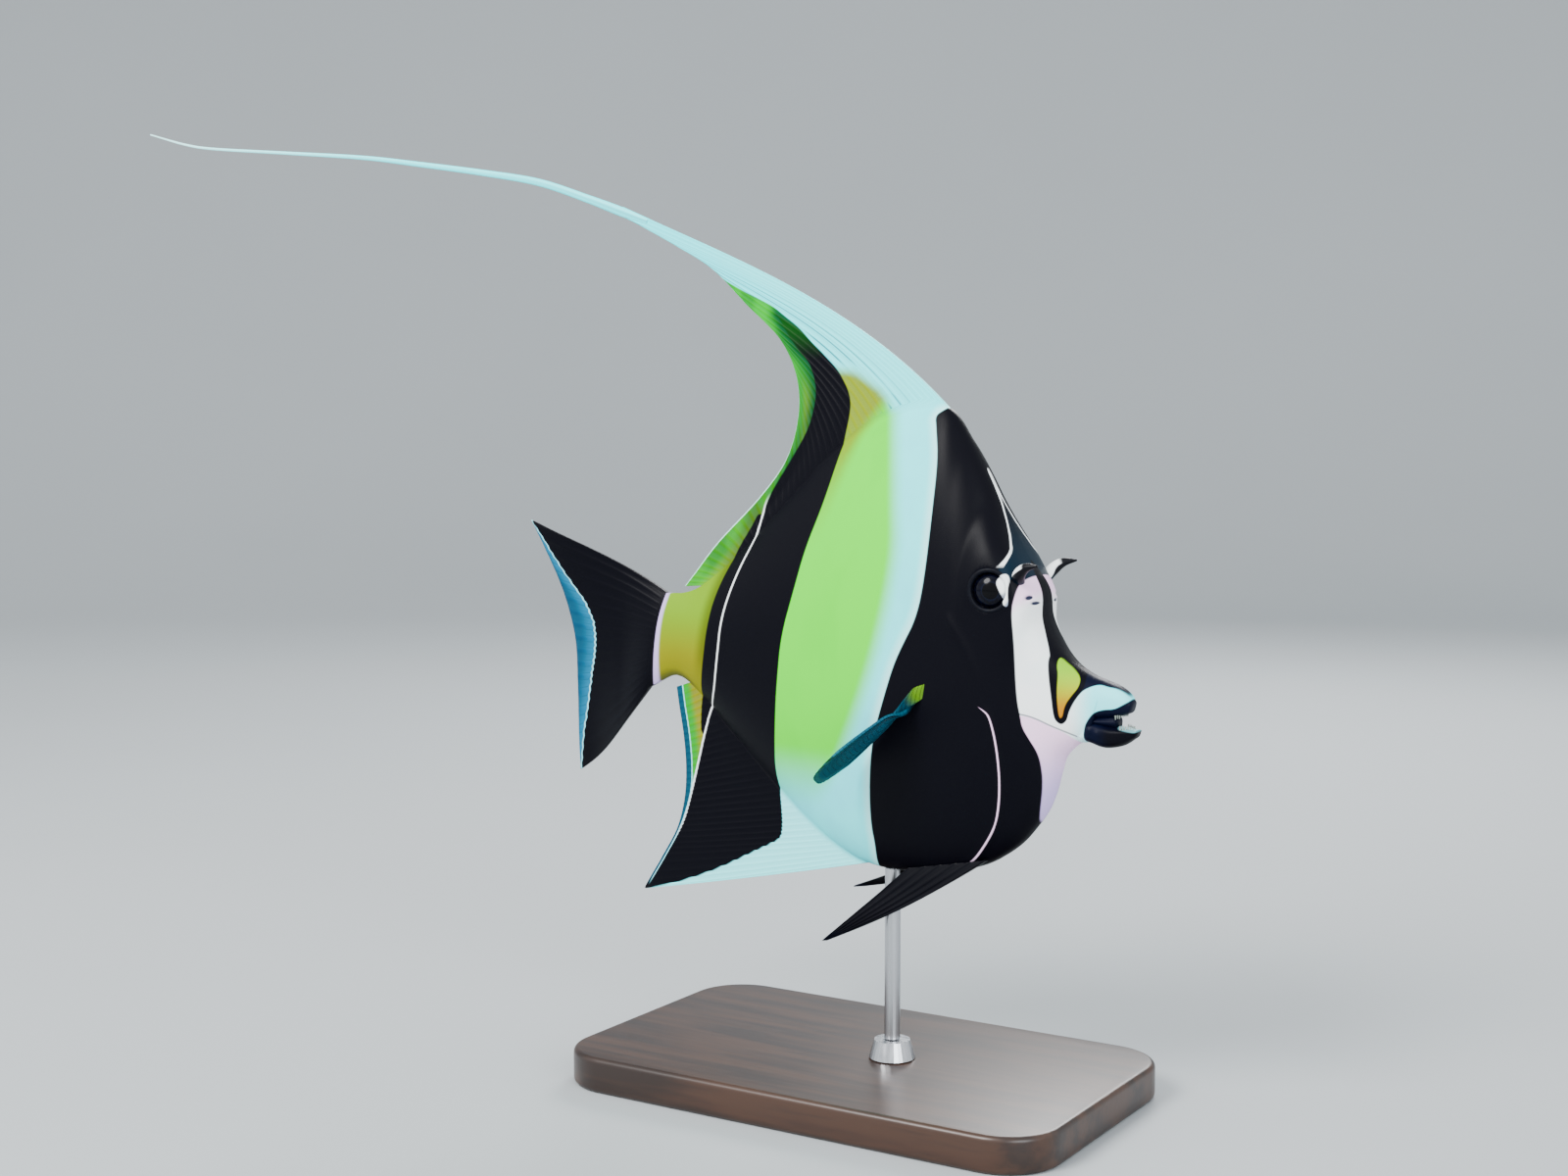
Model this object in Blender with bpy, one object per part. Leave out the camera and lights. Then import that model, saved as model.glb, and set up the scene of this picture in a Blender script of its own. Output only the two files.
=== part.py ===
"""Moorish idol, life size, in a swimming pose on a plain display stand.

The fish swims towards +X and its middle plane is y = 0. The origin is the middle of the
underside of the stand's base. Every size below is in millimetres, and MM turns it to metres.
"""
import math

import bmesh
import bpy
from mathutils import Matrix, Vector

MM = 0.001
GAP = 0.3  # between two nodes that touch
HALF_GAP = GAP / 2

# Ribs of the trunk, from the corner of the mouth to the root of the tail fin. Each rib runs
# from the lower outline to the upper one, and its middle bows backwards by bow.
# (top x, top z, bottom x, bottom z, bow, half width, height of the widest place as a share)
RIBS = (
    (74.0, 120.0, 69.0, 103.8, 0.0, 4.6, 0.50),
    (69.5, 121.5, 66.2, 103.2, 0.0, 5.4, 0.50),
    (64.4, 124.4, 64.2, 101.8, 1.0, 6.8, 0.50),
    (60.0, 129.2, 61.6, 98.8, 3.0, 8.4, 0.52),
    (56.6, 135.8, 60.3, 94.4, 6.6, 10.2, 0.56),
    (55.6, 143.3, 58.9, 89.0, 10.0, 11.7, 0.60),
    (51.0, 150.8, 56.8, 84.0, 12.0, 12.7, 0.62),
    (46.8, 158.2, 53.6, 79.4, 12.4, 13.2, 0.62),
    (42.6, 166.2, 50.0, 75.2, 10.6, 13.4, 0.60),
    (38.4, 174.2, 45.2, 71.4, 7.5, 13.4, 0.56),
    (33.4, 182.4, 39.0, 67.9, 4.0, 13.2, 0.52),
    (26.6, 190.4, 30.0, 65.2, 1.5, 13.0, 0.48),
    (15.0, 189.8, 18.0, 63.6, 0.0, 12.7, 0.46),
    (2.0, 185.2, 4.0, 64.2, 0.0, 12.0, 0.45),
    (-10.0, 177.0, -8.0, 69.0, 0.0, 11.0, 0.46),
    (-21.0, 167.0, -20.0, 77.4, 0.0, 9.8, 0.47),
    (-32.0, 156.4, -31.6, 87.8, 0.0, 8.3, 0.48),
    (-43.0, 146.4, -42.4, 97.6, 0.0, 6.5, 0.49),
    (-53.0, 139.2, -52.6, 107.2, 0.0, 4.9, 0.50),
    (-59.5, 136.8, -61.8, 112.6, 0.0, 3.9, 0.50),
    (-65.6, 136.4, -71.8, 108.4, 0.0, 3.2, 0.50),
)
BROW_RIB, BROW_FLATNESS = 6.0, 8.0  # the forehead is flat between the two brows
HEAD_END, TORSO_END, STALK_END = 10.45, 17.4, 20.0
RIM_HALF_WIDTH = 0.9  # where a fin grows from the trunk
BARE_RIM_HALF_WIDTH = 0.35  # on the forehead and breast, which are rounded

# The jaws, from the corner of the mouth forwards:
# (upper line x, z, lower line x, z, half width)
MOUTH_CORNER = (70.9, 109.9)
UPPER_JAW = (
    (74.0, 120.0, 70.9, 109.9, 4.5),
    (77.0, 118.9, 74.6, 110.6, 4.1),
    (79.4, 117.3, 77.8, 111.3, 3.4),
    (80.8, 115.4, 80.0, 112.2, 2.2),
)
LOWER_JAW = (
    (70.9, 109.9, 69.0, 103.8, 4.5),
    (75.0, 108.8, 73.4, 102.7, 4.0),
    (79.2, 108.4, 78.2, 103.6, 3.2),
    (82.2, 108.0, 81.6, 105.8, 2.0),
)
TOOTH_LENGTH, TOOTH_RADIUS, TEETH_PER_JAW = 1.7, 0.34, 7

# Dorsal fin: where each ray ends, against its share of the way along the fin's root.
DORSAL_FIRST_RIB, DORSAL_LAST_RIB = 11.0, 18.0
DORSAL_RAY_ENDS = (
    (0.00, -80.9, 248.6),
    (0.05, -80.8, 245.8),
    (0.07, -77.0, 244.0),
    (0.14, -62.6, 236.9),
    (0.22, -49.5, 229.6),
    (0.30, -38.0, 219.4),
    (0.38, -27.5, 210.4),
    (0.45, -21.7, 200.2),
    (0.53, -20.7, 189.0),
    (0.61, -24.5, 176.5),
    (0.69, -33.4, 165.4),
    (0.83, -47.5, 152.2),
    (0.94, -55.8, 142.8),
    (1.00, -59.4, 138.7),
)
DORSAL_SPLIT = 0.43
DORSAL_RAYS = 22
DORSAL_BOW, DORSAL_BOW_REAR = -5.8, 0.0
DORSAL_BOW_SKEW = 0.5  # the rays bow most near their roots

# Anal fin, in the same way.
ANAL_FIRST_RIB, ANAL_LAST_RIB = 13.1, 18.6
ANAL_RAY_ENDS = (
    (0.00, -74.0, 47.8),
    (0.04, -73.8, 49.0),
    (0.15, -67.6, 58.6),
    (0.30, -62.4, 67.4),
    (0.45, -59.8, 76.4),
    (0.60, -59.2, 85.4),
    (0.75, -60.0, 94.8),
    (0.90, -61.6, 103.8),
    (1.00, -62.6, 110.2),
)
ANAL_RAYS = 16
ANAL_BOW, ANAL_BOW_REAR = 0.4, 0.0

# Tail fin: the ends of its rays from the upper tip to the lower one.
TAIL_RAY_ENDS = (
    (0.00, -108.4, 156.9),
    (0.10, -105.4, 149.4),
    (0.28, -101.0, 135.6),
    (0.50, -99.6, 121.4),
    (0.72, -101.8, 106.6),
    (0.90, -104.9, 90.0),
    (1.00, -106.6, 79.0),
)
TAIL_RAYS = 12
TAIL_BOW_TOP, TAIL_BOW_BOTTOM = -0.8, 1.9
TAIL_TWIST = math.radians(15)
TAIL_MIDDLE_HEIGHT = 122.0

# The whip of the dorsal fin: (x, y, z, height of the section).
WHIP = (
    (-81.2, 0.0, 247.1, 2.8),
    (-93.3, -0.3, 251.4, 2.4),
    (-110.7, -1.3, 257.0, 2.2),
    (-130.4, -3.2, 260.7, 1.9),
    (-152.9, -7.0, 264.2, 1.6),
    (-171.3, -11.6, 266.8, 1.3),
    (-196.2, -19.9, 268.9, 1.0),
    (-216.9, -28.7, 270.5, 0.8),
    (-225.4, -32.9, 271.9, 0.7),
    (-235.5, -38.4, 275.2, 0.5),
)
WHIP_SPLIT = 4  # the node that ends here is followed by a second length
WHIP_HALF_WIDTH_SHARE = 0.30

# Paired fins, right side (-y): a root line, a blade axis and the spread across it.
PECTORAL_ROOT = (25.4, -12.4, 115.3)
PECTORAL_TIP = (2.4, -29.0, 91.4)
PECTORAL_ROOT_HEIGHT, PECTORAL_SPREAD = 4.0, 21.0
PECTORAL_ROOT_LEAN = (0.25, 0.0, 0.97)  # the root line leans forwards at its top
PECTORAL_EDGE_WAY = (-0.36, 0.88, -0.31)  # the spread at the free end
PECTORAL_RAYS = 9
PELVIC_RAYS = 5
# (front of root, back of root, tip)
PELVIC_RIGHT = ((41.0, -4.2, 70.0), (17.0, -3.4, 65.0), (-7.6, -7.5, 42.4))
PELVIC_LEFT = ((41.0, 4.2, 70.0), (17.0, 3.4, 65.0), (-5.6, 6.6, 55.4))

# Head features, right side.
EYE_CENTRE = (45.0, -9.9, 143.2)
EYE_RADIUS, EYE_DEPTH = 5.2, 3.7
EYE_TURN = math.radians(14)  # the eyes look a little forwards
ORBIT_RING_RADIUS, ORBIT_RING_THICKNESS = 5.7, 0.5
HORN = (
    (51.2, -6.8, 144.2, 1.5),
    (52.4, -10.0, 147.2, 1.7),
    (55.0, -11.4, 149.4, 1.25),
    (58.7, -12.2, 150.1, 0.4),
)
NOSTRILS = ((54.5, 141.4, 0.75), (55.4, 139.9, 0.6))
GILL_COVER = (
    (33.5, 135.0), (31.4, 126.0), (33.0, 118.0), (38.0, 113.8), (43.6, 110.4), (46.6, 103.0),
    (47.6, 93.0), (46.6, 85.0), (50.4, 86.0), (52.6, 96.0), (51.0, 107.0), (46.0, 118.0), (39.5, 128.0),
)
GILL_COVER_INNER_Y = 8.2

# Display stand.
BASE_LENGTH, BASE_WIDTH, BASE_HEIGHT, BASE_CORNER, BASE_EDGE = 150.0, 90.0, 10.0, 16.0, 1.5
COLLAR_RADIUS, COLLAR_HEIGHT = 6.5, 5.0
ROD_X, ROD_RADIUS, ROD_TOP = 10.0, 2.2, 68.0
ROD_CLEARANCE = 0.3


def material(name, colour, roughness, metallic=0.0):
    made = bpy.data.materials.new(name)
    made.use_nodes = True
    shader = made.node_tree.nodes["Principled BSDF"]
    shader.inputs["Base Color"].default_value = (*colour, 1.0)
    shader.inputs["Roughness"].default_value = roughness
    shader.inputs["Metallic"].default_value = metallic
    return made


def along(rows, at):
    """A smooth (Catmull-Rom) value of a table of rows at a fractional row number."""
    last = len(rows) - 1
    i = min(int(at), last - 1)
    f = at - i
    p = [rows[max(0, min(last, i + k))] for k in (-1, 0, 1, 2)]
    if i == 0:
        p[0] = [2 * a - b for a, b in zip(rows[0], rows[1])]
    if i == last - 1:
        p[3] = [2 * a - b for a, b in zip(rows[last], rows[last - 1])]
    return [
        0.5 * (2 * b + (c - a) * f + (2 * a - 5 * b + 4 * c - d) * f * f + (3 * b - a - 3 * c + d) * f ** 3)
        for a, b, c, d in zip(*p)
    ]


def at_share(rows, share):
    """The smooth value of a table whose first column is a share from 0 to 1."""
    shares = [row[0] for row in rows]
    i = max(k for k in range(len(rows) - 1) if shares[k] <= share + 1e-9)
    f = (share - shares[i]) / (shares[i + 1] - shares[i])
    return along([row[1:] for row in rows], i + min(1.0, max(0.0, f)))


def ramp(value, start, end):
    """0 before start, 1 after end, and smooth in between."""
    f = min(1.0, max(0.0, (value - start) / (end - start)))
    return f * f * (3 - 2 * f)


def rim_half_width(rib, first_fin_rib):
    share = ramp(rib, first_fin_rib - 1.2, first_fin_rib)
    return BARE_RIM_HALF_WIDTH + (RIM_HALF_WIDTH - BARE_RIM_HALF_WIDTH) * share


def trunk_point(rib, height):
    """Middle-plane point (x, z) and half width of the trunk: height 0 is the lower rim, 1 the upper."""
    tx, tz, bx, bz, bow, wide, widest = along(RIBS, rib)
    x = bx + (tx - bx) * height - 4 * height * (1 - height) * bow
    z = bz + (tz - bz) * height
    if height > widest:
        away, rim = (height - widest) / (1 - widest), rim_half_width(rib, DORSAL_FIRST_RIB)
        lens = ramp(rib, 8.5, 13.0)
        sharp = ramp(rib, 6.5, 8.5)
        blunt = ramp(rib, 1.0, 4.0) * (1 - sharp)
        power = 3.2 + 2.0 * blunt + BROW_FLATNESS * math.exp(-((rib - BROW_RIB) / 1.1) ** 2) - 0.8 * sharp
    else:
        away, rim = (widest - height) / widest, rim_half_width(rib, ANAL_FIRST_RIB)
        lens = ramp(rib, 11.5, 16.0)
        power = 2.3
    roundness = 0.5 + 0.42 * lens
    half = rim + (wide - rim) * (1 - away ** power) ** roundness
    return x, z, half


def face_outwards(built):
    """Turns the faces of a closed bmesh outwards, by the sign of its volume."""
    bmesh.ops.recalc_face_normals(built, faces=built.faces)
    if built.calc_volume(signed=True) < 0:
        bmesh.ops.reverse_faces(built, faces=built.faces)


def plate(name, points, halves, ways, material_used):
    """A closed sheet: a grid of middle points, each grown by its half thickness along its way, with
    every cell split along the same diagonal on both faces."""
    columns, rows = len(points), len(points[0])
    mesh = bpy.data.meshes.new(name)
    built = bmesh.new()
    near, far = [], []
    for i in range(columns):
        near.append([built.verts.new((points[i][j] - ways[i][j] * halves[i][j]) * MM) for j in range(rows)])
        far.append([built.verts.new((points[i][j] + ways[i][j] * halves[i][j]) * MM) for j in range(rows)])
    for i in range(columns - 1):
        for j in range(rows - 1):
            for side, turned in ((near, False), (far, True)):
                a, b, c, d = side[i][j], side[i + 1][j], side[i + 1][j + 1], side[i][j + 1]
                for corners in ((a, b, c), (a, c, d)):
                    built.faces.new(corners[::-1] if turned else corners)
    border = [(i, 0) for i in range(columns)] + [(columns - 1, j) for j in range(1, rows)]
    border += [(i, rows - 1) for i in range(columns - 2, -1, -1)] + [(0, j) for j in range(rows - 2, 0, -1)]
    for (i, j), (k, m) in zip(border, border[1:] + border[:1]):
        built.faces.new((near[k][m], near[i][j], far[i][j]))
        built.faces.new((near[k][m], far[i][j], far[k][m]))
    face_outwards(built)
    built.to_mesh(mesh)
    built.free()
    made = bpy.data.objects.new(name, mesh)
    fish.objects.link(made)
    mesh.materials.append(material_used)
    mesh.shade_smooth()
    mesh.set_sharp_from_angle(angle=math.radians(35))
    return made


SIDEWAYS = Vector((0, 1, 0))


def flat_plate(name, grid, material_used):
    """A plate in the middle plane from a grid of (x, z, half thickness)."""
    points = [[Vector((x, 0, z)) for x, z, _ in column] for column in grid]
    halves = [[half for _, _, half in column] for column in grid]
    ways = [[SIDEWAYS] * len(column) for column in grid]
    return plate(name, points, halves, ways, material_used)


def heights(count):
    """Shares from 0 to 1, closer together towards both rims."""
    return [0.5 - 0.5 * math.cos(math.pi * k / (count - 1)) for k in range(count)]


def trunk(name, first, last, columns, rows, material_used, grown=0.0):
    """One length of the trunk between two ribs. grown makes it thicker, for a cutter."""
    grid = []
    for i in range(columns):
        rib = first + (last - first) * i / (columns - 1)
        column = []
        for height in heights(rows):
            x, z, half = trunk_point(rib, height)
            column.append((x, z + grown * (2 * height - 1), half + grown))
        grid.append(column)
    return flat_plate(name, grid, material_used)


def jaw(name, table, material_used):
    """A jaw: sections between an upper and a lower line, with rounded sides and a blunt tip."""
    columns, rows = 9, 9
    grid = []
    for i in range(columns):
        ux, uz, lx, lz, wide = along(table, (len(table) - 1) * i / (columns - 1))
        shift = GAP if i == 0 else 0.0
        column = []
        for height in heights(rows):
            round_share = math.sqrt(max(0.0, 1 - abs(2 * height - 1) ** 2.6))
            column.append((
                lx + (ux - lx) * height + shift,
                lz + (uz - lz) * height,
                0.35 + (wide - 0.35) * round_share,
            ))
        grid.append(column)
    return flat_plate(name, grid, material_used)


def ray_path(root, end, bow, share, skew=0.0):
    """A point on a ray from its root to its end, which bows to its left by bow in its middle.
    A skew above 0 moves the deepest place of the bow towards the root."""
    across = Vector((-(end.y - root.y), end.x - root.x)).normalized()
    return root.lerp(end, share) + across * (4 * share * (1 - share) * bow * (1 + skew * (1 - 2 * share)))


def ridge(column, columns_per_ray):
    """1 on a ray's crest and 0 midway between two rays."""
    return 1.0 if column % columns_per_ray == 0 else 0.0


def rim_place(rib, rim):
    """The place on the middle plane that stands off the trunk's upper or lower rim by the gap."""
    step = 0.02
    here, before, after = (Vector(trunk_point(r, rim)[:2]) for r in (rib, rib - step, rib + step))
    way = (after - before).normalized()
    outwards = Vector((way.y, -way.x)) if rim > 0.5 else Vector((-way.y, way.x))
    return here + outwards * GAP


def middle_fin(name, rim, first_rib, last_rib, ends, rays, bows, shares, rows, material_used, skew=0.0):
    """A fin that grows from the trunk's rim: columns follow the rays, with every ray a ridge."""
    columns = 2 * rays + 1
    grid = []
    for i in range(columns):
        share = shares[0] + (shares[1] - shares[0]) * i / (columns - 1)
        root = rim_place(first_rib + (last_rib - first_rib) * share, rim)
        end = Vector(at_share(ends, share))
        bow = bows[0] + (bows[1] - bows[0]) * ramp(share, 0.0, 0.6)
        column = []
        for j in range(rows):
            way = j / (rows - 1)
            place = ray_path(root, end, bow, way, skew)
            membrane = RIM_HALF_WIDTH - 0.55 * ramp(way, 0.0, 0.5) - 0.08 * way
            crest = 0.32 * ridge(i, 2) * ramp(way, 0.02, 0.25) * (1 - 0.55 * way)
            if share < 1e-6 and shares[0] == 0.0:
                crest += 0.12  # the first spine is the stoutest
            column.append((place.x, place.y, membrane + crest))
        grid.append(column)
    return flat_plate(name, grid, material_used)


def tail_fin(material_used):
    """The tail fin, fanned from the last rib and twisted a little, as in a stroke of the tail."""
    columns, rows = 2 * TAIL_RAYS + 1, 8
    points, halves, ways = [], [], []
    for i in range(columns):
        share = i / (columns - 1)
        x, z, _ = trunk_point(STALK_END, 1 - share)
        root, end = Vector((x, z)), Vector(at_share(TAIL_RAY_ENDS, share))
        bow = TAIL_BOW_TOP + (TAIL_BOW_BOTTOM - TAIL_BOW_TOP) * share
        line, thickness = [], []
        for j in range(rows):
            start = GAP / (end - root).length
            way = start + (1 - start) * j / (rows - 1)
            place = ray_path(root, end, bow, way)
            sideways = -math.tan(TAIL_TWIST) * (place.y - TAIL_MIDDLE_HEIGHT) * ramp(way, 0.0, 0.9)
            line.append(Vector((place.x, sideways, place.y)))
            stalk_half = trunk_point(STALK_END, 1 - share)[2]
            membrane = stalk_half + (0.36 - stalk_half) * ramp(way, 0.0, 0.45)
            crest = 0.3 * ridge(i, 2) * ramp(way, 0.05, 0.3) * (1 - 0.5 * way)
            thickness.append(membrane + crest)
        points.append(line)
        halves.append(thickness)
        ways.append([SIDEWAYS] * rows)
    return plate("tail_fin", points, halves, ways, material_used)


def whip(name, first, last, material_used):
    """One length of the dorsal whip: a long blade that tapers to a thread and drifts to one side."""
    columns, rows = 2 + 3 * (last - first), 3
    points, halves, ways = [], [], []
    for i in range(columns):
        at = first + (last - first) * i / (columns - 1)
        x, y, z, height = along(WHIP, at)
        if i == 0:
            x -= GAP
        line = [Vector((x, y, z + height * (j / (rows - 1) - 0.5))) for j in range(rows)]
        points.append(line)
        stout = 0.14 + height * WHIP_HALF_WIDTH_SHARE * 0.45
        halves.append([stout * 0.6, stout, stout * 0.6])
        ways.append([SIDEWAYS] * rows)
    return plate(name, points, halves, ways, material_used)


def fan_fin(name, side, frame, rays, rows, material_used):
    """A paired fin. frame(share across, share along) gives its middle point, and each ray is a ridge."""
    columns = 2 * rays + 1
    points = [
        [frame(i / (columns - 1), j / (rows - 1)) for j in range(rows)] for i in range(columns)
    ]
    halves, ways = [], []
    for i in range(columns):
        column_halves, column_ways = [], []
        for j in range(rows):
            before, after = points[max(0, i - 1)][j], points[min(columns - 1, i + 1)][j]
            below, above = points[i][max(0, j - 1)], points[i][min(rows - 1, j + 1)]
            normal = (after - before).cross(above - below).normalized()
            if i or j:
                reference = column_ways[-1] if j else ways[i - 1][0]
                if normal.dot(reference) < 0:
                    normal.negate()
            way = j / (rows - 1)
            membrane = 0.85 - 0.55 * ramp(way, 0.0, 0.4)
            crest = 0.24 * ridge(i, 2) * ramp(way, 0.05, 0.25) * (1 - 0.5 * way)
            column_halves.append(membrane + crest)
            column_ways.append(normal)
        halves.append(column_halves)
        ways.append(column_ways)
    mirrored = [[Vector((p.x, p.y * side, p.z)) for p in column] for column in points]
    turned = [[Vector((n.x, n.y * side, n.z)) for n in column] for column in ways]
    return plate(name, mirrored, halves, turned, material_used)


def pectoral_frame(across, way):
    """The pectoral fin twists from an upright root to a free end that stands out from the flank."""
    root, tip = Vector(PECTORAL_ROOT), Vector(PECTORAL_TIP)
    root_way, end_way = Vector(PECTORAL_ROOT_LEAN), Vector(PECTORAL_EDGE_WAY)
    turned = root_way.lerp(end_way, ramp(way, 0.0, 0.5)).normalized()
    wide = PECTORAL_ROOT_HEIGHT + (PECTORAL_SPREAD - PECTORAL_ROOT_HEIGHT) * ramp(way, 0.0, 1.0)
    rounded = 1 - 0.2 * (2 * across - 1) ** 4
    centre = root.lerp(tip, -0.06 + 1.06 * way * rounded)
    return centre + turned * wide * (across - 0.5)


def pelvic_frame(front, back, tip):
    """The pelvic fin is a folded triangle that ends in a point."""
    def frame(across, way):
        root = Vector(front).lerp(Vector(back), across)
        end = Vector(tip) + (Vector(back) - Vector(front)) * (0.06 * (across - 0.5))
        sag = Vector((0, 0, -1.6 * math.sin(math.pi * way) * (1 - across)))
        return root.lerp(end, way) + sag
    return frame


def cut(target, cutter, operation="DIFFERENCE"):
    """Applies one Boolean to target and removes the other object."""
    step = target.modifiers.new("cut", "BOOLEAN")
    step.operation = operation
    step.object = cutter
    step.solver = "EXACT"
    bake(target)
    bpy.data.objects.remove(cutter)


def bake(target):
    """Replaces an object's mesh by its evaluated one and drops its modifiers."""
    bpy.context.view_layer.update()
    graph = bpy.context.evaluated_depsgraph_get()
    mesh = bpy.data.meshes.new_from_object(target.evaluated_get(graph))
    target.modifiers.clear()
    target.data = mesh


def join(target, pieces):
    """One union of target with all the pieces, keeping only the largest closed surface."""
    group = bpy.data.collections.new("pieces")
    bpy.context.scene.collection.children.link(group)
    for piece in pieces:
        group.objects.link(piece)
        fish.objects.unlink(piece)
    step = target.modifiers.new("join", "BOOLEAN")
    step.operation = "UNION"
    step.operand_type = "COLLECTION"
    step.collection = group
    step.solver = "EXACT"
    bake(target)
    for piece in pieces:
        bpy.data.objects.remove(piece)
    bpy.data.collections.remove(group)


def keep_largest(target):
    """Drops every loose scrap that a cut has left."""
    built = bmesh.new()
    built.from_mesh(target.data)
    left, shells = set(built.faces), []
    while left:
        stack, shell = [left.pop()], []
        while stack:
            face = stack.pop()
            shell.append(face)
            for edge in face.edges:
                for other in edge.link_faces:
                    if other in left:
                        left.remove(other)
                        stack.append(other)
        shells.append(shell)
    largest = max(shells, key=len)
    for shell in shells:
        if shell is not largest:
            bmesh.ops.delete(built, geom=shell, context="FACES")
    built.to_mesh(target.data)
    built.free()


def ball(name, centre, radii, turn, material_used, segments=20, rings=12):
    """An ellipsoid whose short axis is y before it turns about z."""
    mesh = bpy.data.meshes.new(name)
    built = bmesh.new()
    bmesh.ops.create_uvsphere(built, u_segments=segments, v_segments=rings, radius=1.0)
    bmesh.ops.rotate(built, verts=built.verts, cent=(0, 0, 0), matrix=Matrix.Rotation(math.pi / 2, 3, "X"))
    bmesh.ops.scale(built, verts=built.verts, vec=Vector(radii) * MM)
    bmesh.ops.rotate(built, verts=built.verts, cent=(0, 0, 0), matrix=Matrix.Rotation(turn, 3, "Z"))
    bmesh.ops.translate(built, verts=built.verts, vec=Vector(centre) * MM)
    built.to_mesh(mesh)
    built.free()
    made = bpy.data.objects.new(name, mesh)
    fish.objects.link(made)
    mesh.materials.append(material_used)
    mesh.shade_smooth()
    return made


def ring(name, centre, radius, thickness, turn, material_used):
    """A ring that lies flat against the side of the head."""
    bpy.ops.mesh.primitive_torus_add(
        major_radius=radius * MM, minor_radius=thickness * MM, major_segments=28, minor_segments=8,
        location=Vector(centre) * MM, rotation=(math.pi / 2, 0, turn),
    )
    made = bpy.context.object
    made.name = name
    made.data.materials.append(material_used)
    made.data.transform(made.matrix_basis)
    made.matrix_basis.identity()
    move_to_fish(made)
    return made


def cylinder(name, radius, low, high, x, material_used, sides=32, y=0.0, top_radius=None):
    bpy.ops.mesh.primitive_cone_add(
        vertices=sides, radius1=radius * MM, radius2=(radius if top_radius is None else top_radius) * MM,
        depth=(high - low) * MM, location=Vector((x, y, (low + high) / 2)) * MM,
    )
    made = bpy.context.object
    made.name = name
    made.data.materials.append(material_used)
    made.data.transform(made.matrix_basis)
    made.matrix_basis.identity()
    move_to_fish(made)
    return made


def move_to_fish(made):
    for group in list(made.users_collection):
        group.objects.unlink(made)
    fish.objects.link(made)


def prism(name, outline, inner_y, outer_y, material_used):
    """A closed prism along y over an outline of (x, z) points."""
    mesh = bpy.data.meshes.new(name)
    built = bmesh.new()
    floor = [built.verts.new(Vector((x, inner_y, z)) * MM) for x, z in outline]
    face = built.faces.new(floor)
    grown = bmesh.ops.extrude_face_region(built, geom=[face])
    moved = [item for item in grown["geom"] if isinstance(item, bmesh.types.BMVert)]
    bmesh.ops.translate(built, verts=moved, vec=Vector((0, outer_y - inner_y, 0)) * MM)
    face_outwards(built)
    built.to_mesh(mesh)
    built.free()
    made = bpy.data.objects.new(name, mesh)
    fish.objects.link(made)
    mesh.materials.append(material_used)
    return made


def smooth_outline(points, steps=3):
    """A closed outline with its corners rounded through the given points."""
    count = len(points)
    ring_rows = [points[(k - 1) % count] for k in range(count + 3)]
    rounded = []
    for k in range(count):
        window = ring_rows[k:k + 4]
        for step in range(steps):
            rounded.append(tuple(along(window, 1 + step / steps)))
    return rounded


def moved_outline(points, distance):
    """An outline moved outwards by distance, along each point's own normal."""
    area = sum(a[0] * b[1] - b[0] * a[1] for a, b in zip(points, points[1:] + points[:1]))
    sign = 1 if area > 0 else -1
    moved = []
    for before, here, after in zip(points[-1:] + points[:-1], points, points[1:] + points[:1]):
        way = Vector((after[0] - before[0], after[1] - before[1])).normalized()
        moved.append((here[0] + way.y * distance * sign, here[1] - way.x * distance * sign))
    return moved


def horn(name, side, material_used):
    """A horn: a short curved cone that grows from the brow in front of the eye."""
    curve = bpy.data.curves.new(name, "CURVE")
    curve.dimensions = "3D"
    curve.bevel_depth = MM
    curve.bevel_resolution = 2
    curve.use_fill_caps = True
    count = 9
    line = curve.splines.new("POLY")
    line.points.add(count - 1)
    for k in range(count):
        x, y, z, radius = along(HORN, (len(HORN) - 1) * k / (count - 1))
        line.points[k].co = (x * MM, side * y * MM, z * MM, 1)
        line.points[k].radius = radius
    helper = bpy.data.objects.new(name + "_line", curve)
    fish.objects.link(helper)
    bpy.context.view_layer.update()
    graph = bpy.context.evaluated_depsgraph_get()
    mesh = bpy.data.meshes.new_from_object(helper.evaluated_get(graph))
    bpy.data.objects.remove(helper)
    built = bmesh.new()
    built.from_mesh(mesh)
    bmesh.ops.remove_doubles(built, verts=built.verts, dist=1e-6)
    face_outwards(built)
    built.to_mesh(mesh)
    built.free()
    made = bpy.data.objects.new(name, mesh)
    fish.objects.link(made)
    mesh.materials.clear()
    mesh.materials.append(material_used)
    mesh.shade_smooth()
    return made


def teeth(jaw_node, table, pointing, material_used):
    """A row of fine teeth round the front of a jaw, each sunk into it."""
    edge = 2 if pointing < 0 else 0
    pieces = []
    for k in range(TEETH_PER_JAW):
        spread = 2 * k / (TEETH_PER_JAW - 1) - 1
        row = along(table, (len(table) - 1) * (0.93 - 0.22 * spread ** 2))
        x, z = row[edge] - 0.5, row[edge + 1]
        y = spread * (row[4] * 0.62 + 0.5)
        tooth = cylinder(
            f"tooth_{k}", TOOTH_RADIUS, z - TOOTH_LENGTH * 0.6, z + TOOTH_LENGTH, x, material_used,
            sides=6, y=y, top_radius=TOOTH_RADIUS * 0.35,
        )
        if pointing < 0:
            tooth.data.transform(Matrix.Translation((0, 0, 2 * z * MM)) @ Matrix.Scale(-1, 4, (0, 0, 1)))
            tooth.data.flip_normals()
        pieces.append(tooth)
    join(jaw_node, pieces)
    keep_largest(jaw_node)


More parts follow.
